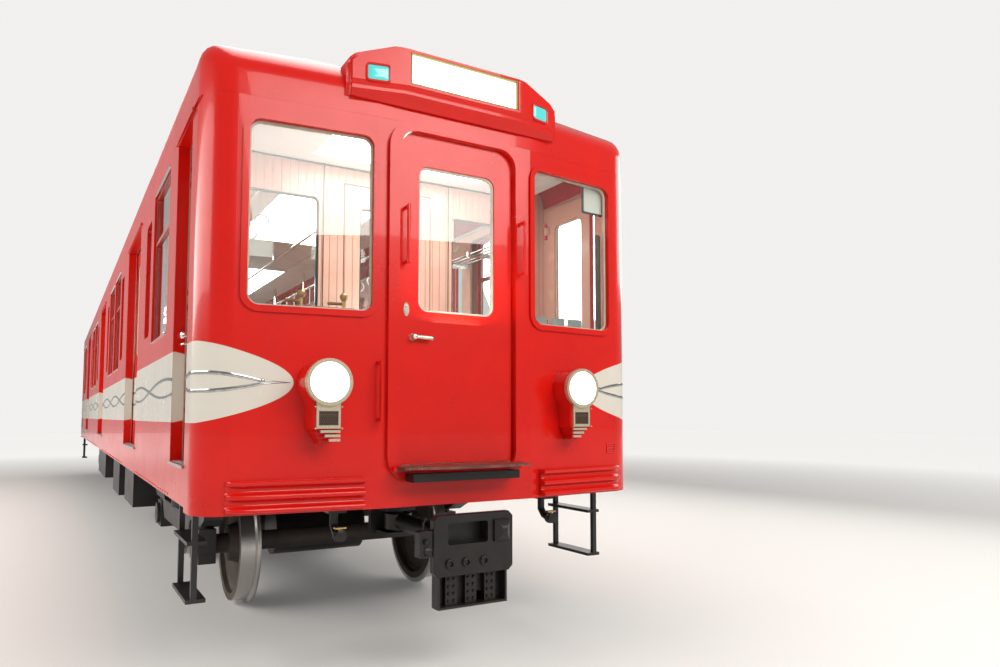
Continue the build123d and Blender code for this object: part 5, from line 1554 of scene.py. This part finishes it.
def hang_rows(name, shape, spots, made):
    """A shape repeated at points, as one plain mesh."""
    tree, ends = new_tree("hung_rows", [("Shape", "Object", None)])
    hung = put(tree, "GeometryNodeObjectInfo", {"Object": ends["Shape"]})
    copy_to_points(tree, ends, hung.outputs["Geometry"])
    model = place_object(f"{name}_model", shape.mesh(f"{name}_model"))
    data = points_mesh(name, [(spot, (0, 0, 1)) for spot in spots])
    plain = run_tree(name, data, tree, {"Shape": model, "Finish": made})
    bpy.data.objects.remove(model)
    plain.shade_smooth()
    plain.set_sharp_from_angle(angle=radians(40))
    piece(name, plain, made)


RAIL_Y, RAIL_Z = 0.763, 3.06
RAIL_END_X = 7.45
RAIL_HANGER_X = 7.4
RAIL_HANGERS = 11
SALOON_X = 7.64
STRAP_DROP = 0.27
STRAP_COUNT = 41
STRAP_PITCH = 0.36
CAB_BACK_X = 7.69
CAB_FRONT_X = 8.46
CAB_CEILING_Z = 3.118
DESK_X = 8.45
DESK_Z = 1.96


def add_saloon():
    """The saloon's strap rails, hand straps and trim, and the covering of its and the cabs' floors."""
    rails = Shape()
    for y, z in ((RAIL_Y, RAIL_Z), (0, RAIL_Z + 0.03)):
        rails.pipe([(-RAIL_END_X, y, z), (RAIL_END_X, y, z)], 0.014, 12)
        for n in range(RAIL_HANGERS):
            x = RAIL_HANGER_X * (2 * n / (RAIL_HANGERS - 1) - 1)
            rails.pipe([(x, y, z), (x, y, CEILING_Z)], 0.009, 8)
    piece("strap_rails", at_both_sides(rails), CHROME)
    spots = [(-7.2 + n * STRAP_PITCH, side * RAIL_Y, RAIL_Z)
             for side in (-1, 1) for n in range(STRAP_COUNT)]
    hang_rows("hand_straps", make_strap(STRAP_DROP), spots, STRAP_WHITE)
    lino = FLOOR_Z + 0.003
    floor = Shape().block((-SALOON_X, -1.250, FLOOR_Z), (SALOON_X, 1.250, lino))
    for low, high in ((-8.60, -7.70), (7.70, 8.60)):
        floor.block((low, -1.15, FLOOR_Z), (high, 1.15, lino))
    piece("floor_covering", floor, FLOORING)
    trim = Shape().block((-7.6, LINING_INNER_Y - 0.012, 3.085), (7.6, LINING_INNER_Y, 3.110))
    trim.block((-7.6, LINING_INNER_Y - 0.010, FLOOR_Z), (-5.65, LINING_INNER_Y, FLOOR_Z + 0.12))
    piece("saloon_trim", at_both_sides(trim), ALUMINIUM, bevel=0.002)


def add_cabs():
    """Ceilings, wall lines, switch boxes and controller handles of both cabs."""
    wall, top = CAB_BACK_X + 0.0005, CAB_CEILING_Z
    ceiling = Shape().block((CAB_BACK_X + 0.002, -1.15, top), (CAB_FRONT_X, 1.15, top + 0.012))
    piece("cab_ceilings", at_both_ends(ceiling), CEILING_WHITE, bevel=0.002)
    edges = Shape().block((wall, -1.22, top - 0.014), (CAB_BACK_X + 0.005, 1.22, top - 0.002))
    for y in (-0.47, 0.47):
        edges.block((wall, y - 0.003, FLOOR_Z + 0.1), (CAB_BACK_X + 0.004, y + 0.003, top - 0.014))
    piece("cab_wall_lines", at_both_ends(edges), BLACK_RUBBER)
    boxes = Shape()
    for n in range(4):
        y = n * 0.14
        boxes.block((DESK_X + 0.1, 0.50 + y, DESK_Z), (DESK_X + 0.13, 0.60 + y, DESK_Z + 0.09))
    piece("cab_switch_boxes", at_both_ends(boxes), SWITCH_GREY, bevel=0.004)
    stem = [(0.0001, 0.0), (0.030, 0.0), (0.030, 0.012), (0.011, 0.020), (0.010, 0.085), (0.022, 0.10),
            (0.024, 0.118), (0.012, 0.130), (0.0001, 0.132)]
    handles = Shape()
    foot_x = DESK_X + 0.11
    for y in (-0.62, -0.86):
        handles.turned_on(stem, Matrix.Translation((foot_x, y, DESK_Z)), 20)
        grip = [(foot_x, y, DESK_Z + 0.07), (DESK_X + 0.02, y - 0.06, DESK_Z + 0.082)]
        handles.pipe(grip, 0.009, 10)
    piece("cab_handles", at_both_ends(handles), BRASS)


# Cushions

SWELL_CAP = 0.012
SWELL_FRAMES = 20
CHANNEL_PITCH = 0.25
CHANNEL_DEPTH = 0.006
DRIVER_X = 8.0
DRIVER_Y = -0.54
DRIVER_Z = FLOOR_Z + 0.45
UPRIGHT = Matrix.Rotation(pi / 2, 4, "X")
SIDEWAYS = Matrix.Rotation(pi / 2, 4, "Z")


def cushion_form(name, size, crown):
    """A closed block with round edges, a little domed on its upper face, centred on its own origin."""
    half = [side / 2 for side in size]
    work = bmesh.new()
    bmesh.ops.create_cube(work, size=1.0)
    for vert in work.verts:
        vert.co = Vector((vert.co.x * size[0], vert.co.y * size[1], vert.co.z * size[2]))
    bmesh.ops.bevel(work, geom=list(work.edges), offset=min(size) * 0.32, segments=3, affect="EDGES",
                    profile=0.6)
    long_edges = [edge for edge in work.edges if edge.calc_length() > 0.12]
    bmesh.ops.subdivide_edges(work, edges=long_edges, cuts=5, use_grid_fill=True)
    for vert in work.verts:
        across = (1 - (vert.co.x / half[0]) ** 4) * (1 - (vert.co.y / half[1]) ** 4)
        if vert.co.z > 0:
            vert.co.z += crown * across
    data = bpy.data.meshes.new(name)
    work.to_mesh(data)
    work.free()
    return data


def swell(name, size):
    """A cushion blown up by cloth pressure from a slightly smaller form, its movement capped."""
    cap = SWELL_CAP
    start = [size[0] - 2 * cap, size[1] - 2 * cap, size[2] - 1.4 * cap]
    thing = place_object(f"{name}_form", cushion_form(name, start, 0.008))
    remesh = thing.modifiers.new("even", "REMESH")
    remesh.mode = "VOXEL"
    remesh.voxel_size = 0.013 if size[0] > 0.6 else 0.009
    even = settled(thing)
    thing.modifiers.clear()
    thing.data = even
    rest = [vert.co.copy() for vert in even.vertices]
    cloth = thing.modifiers.new("cloth", "CLOTH")
    cloth.settings.use_pressure = True
    cloth.settings.uniform_pressure_force = 4.0
    cloth.settings.tension_stiffness = 20.0
    cloth.settings.bending_stiffness = 2.0
    cloth.settings.quality = 4
    cloth.settings.effector_weights.gravity = 0.0
    cloth.collision_settings.use_collision = False
    cloth.point_cache.frame_start = 1
    cloth.point_cache.frame_end = SWELL_FRAMES
    scene = bpy.context.scene
    for step in range(1, SWELL_FRAMES + 1):
        scene.frame_set(step)
    even = settled(thing)
    thing.modifiers.clear()
    scene.frame_set(1)
    for vert, before in zip(even.vertices, rest):
        step = vert.co - before
        if step.length > cap:
            vert.co = before + step.normalized() * cap
    even.name = name
    bpy.data.objects.remove(thing)
    return even


def channels(data):
    """Presses sewn channels across a cushion's upper face."""
    top = max(vert.co.z for vert in data.vertices)
    for vert in data.vertices:
        near = abs((vert.co.x / CHANNEL_PITCH) % 1.0 - 0.5) * 2
        dip = max(1 - (1 - near) * CHANNEL_PITCH / 0.024, 0.0)
        if vert.co.z > top * 0.35:
            vert.co.z -= CHANNEL_DEPTH * dip * dip
    return data


def place_cushion(name, data, matrix, low, high):
    """A cushion of its own, moved to its place and kept between two corners."""
    own = data.copy()
    own.transform(matrix)
    for vert in own.vertices:
        for axis in range(3):
            vert.co[axis] = min(max(vert.co[axis], low[axis]), high[axis])
    own.shade_smooth()
    made = piece(name, own, CLOTH)
    return made


def cushion_box(middle, length, y, z, flip):
    """The box that a cushion may fill, after it is turned to its side."""
    corners = [flip @ Vector((middle + way * (length / 2 - 0.0005), across, height))
               for way in (-1, 1) for across in y for height in z]
    return [tuple(pick(corner[axis] for corner in corners) for axis in range(3)) for pick in (min, max)]


def add_cushions():
    """Bench cushions, crowned and sewn in channels, in place of the plain solids, and the driver's."""
    seat = channels(swell("bench_seat", (0.998, 0.455, 0.090)))
    back = channels(swell("bench_back", (0.998, 0.500, 0.085)))
    driver_seat = swell("driver_seat_pad", (0.405, 0.325, 0.080))
    driver_back = swell("driver_back_pad", (0.405, 0.440, 0.060))
    seat_z = (FLOOR_Z + 0.34, FLOOR_Z + 0.43)
    back_z = (FLOOR_Z + 0.43, FLOOR_Z + 0.95)
    spans = [(1.5, 2.5), (2.5, 3.5), (6.45, 7.6), (-2.5, -1.5), (-3.5, -2.5), (-7.6, -6.45)]
    for side, flip in (("left", SAME), ("right", HALF_TURN)):
        for number, (low, high) in enumerate(spans):
            length = high - low
            middle = (low + high) / 2 * (1 if side == "left" else -1)
            stretch = Matrix.Diagonal((length, 1, 1, 1))
            spot = Matrix.Translation((middle, 1.022, sum(seat_z) / 2))
            box = cushion_box(middle, length, (0.794, 1.2526), seat_z, flip)
            place_cushion(f"bench_seat_{side}_{number + 1}", seat,
                                       flip @ spot @ stretch, *box)
            spot = Matrix.Translation((middle, 1.208, sum(back_z) / 2)) @ UPRIGHT
            box = cushion_box(middle, length, (1.1626, 1.2526), back_z, flip)
            place_cushion(f"bench_back_{side}_{number + 1}", back, flip @ spot @ stretch, *box)
    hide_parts("bench_cushions")
    room = ((-9, -2, 0), (9, 2, 4))
    for end, turn in ENDS:
        spot = Matrix.Translation((DRIVER_X + 0.165, DRIVER_Y, DRIVER_Z + 0.04)) @ SIDEWAYS
        place_cushion(f"driver_seat_{end}", driver_seat, turn @ spot, *room)
        spot = Matrix.Translation((DRIVER_X + 0.03, DRIVER_Y, DRIVER_Z + 0.305)) @ SIDEWAYS @ UPRIGHT
        place_cushion(f"driver_back_{end}", driver_back, turn @ spot, *room)


# Floor, backdrop and light

def pale_surface(name, colour, cast):
    """A matt studio surface that looks white to the camera and to gloss, and still shows shadow."""
    made, tree, shader = shaded(name, rough=0.75, base=colour)
    path = put(tree, "ShaderNodeLightPath")
    seen = maths(tree, "MAXIMUM", path.outputs["Is Camera Ray"], path.outputs["Is Glossy Ray"])
    seen = maths(tree, "MAXIMUM", seen, path.outputs["Is Transmission Ray"])
    away = put(tree, "ShaderNodeVectorMath", {0: place_of(tree)}, operation="LENGTH").outputs["Value"]
    cast = spread(tree, away, 8.0, 19.0, *cast)
    glow = put(tree, "ShaderNodeEmission", {"Color": (1, 0.99, 0.97, 1), "Strength": cast}).outputs[0]
    dark = put(tree, "ShaderNodeEmission", {"Color": (0, 0, 0, 1), "Strength": 0.0}).outputs[0]
    light = put(tree, "ShaderNodeMixShader", {0: seen, 1: dark, 2: glow}).outputs[0]
    both = put(tree, "ShaderNodeAddShader", {0: shader.outputs[0], 1: light}).outputs[0]
    tree.links.new(both, tree.nodes["Material Output"].inputs["Surface"])
    return made


def add_stage():
    """The studio's floor and its pale sky."""
    data = bpy.data.meshes.new("studio_floor")
    reach = 60
    corners = [(-reach, -reach, 0), (reach, -reach, 0), (reach, reach, 0), (-reach, reach, 0)]
    data.from_pydata(corners, [], [(0, 1, 2, 3)])
    data.materials.append(pale_surface("studio_floor", (0.66, 0.65, 0.63, 1), (0.10, 0.62)))
    ground = place_object("studio_floor", data)
    world = bpy.data.worlds.new("studio")
    bpy.context.scene.world = world
    world.use_nodes = True
    tree = world.node_tree
    sky = tree.nodes["Background"]
    sky.inputs["Color"].default_value = (0.93, 0.92, 0.90, 1)
    path = put(tree, "ShaderNodeLightPath")
    seen = maths(tree, "MAXIMUM", path.outputs["Is Camera Ray"], path.outputs["Is Transmission Ray"])
    tree.links.new(spread(tree, seen, 0.0, 1.0, 0.42, 0.95), sky.inputs["Strength"])


def add_panel_light(name, place, target, size, power):
    data = bpy.data.lights.new(name, "AREA")
    data.shape = "RECTANGLE"
    data.size, data.size_y = size
    data.energy = power
    data.color = (1, 0.97, 0.93)
    lamp = place_object(name, data)
    lamp.location = place
    heading = Vector(target) - Vector(place)
    lamp.rotation_euler = heading.to_track_quat("-Z", "Y").to_euler()


def add_lights():
    """Panels round the car and lamps inside it."""
    add_panel_light("front_panel", (15.0, 1.5, 5.5), (8.7, 0, 1.8), (6.0, 3.0), 420)
    add_panel_light("side_panel", (3.0, -7.5, 4.2), (3.0, -1.2, 1.8), (14.0, 2.4), 620)
    add_panel_light("far_side_panel", (3.0, 7.5, 4.6), (3.0, 1.2, 1.8), (14.0, 2.4), 420)
    add_panel_light("top_panel", (0.0, 0.0, 8.0), (0.0, 0.0, 3.5), (18.0, 3.0), 420)
    for x in (-6.0, -2.0, 2.0, 6.0):
        add_panel_light(f"saloon_{x:g}", (x, 0, CEILING_Z - 0.06), (x, 0, 1.2), (2.4, 0.9), 60)
    for side in (-1, 1):
        x = side * 8.15
        add_panel_light(f"cab_{side}", (x, 0, 3.10), (x, 0, 1.2), (0.5, 1.2), 16)
        add_panel_light(f"cab_desk_{side}", (side * 8.25, 0, 1.90), (x, 0, 3.1), (0.3, 1.6), 14)


aim_camera()
add_stage()
add_lights()
dress_nodes()
add_leaf_panes()
add_end_panes()
add_band_trim()
add_end_fittings()
add_end_forms()
add_roof()
add_side_fittings()
add_saloon()
add_cabs()
add_cushions()

bpy.context.scene.view_settings.view_transform = "Standard"
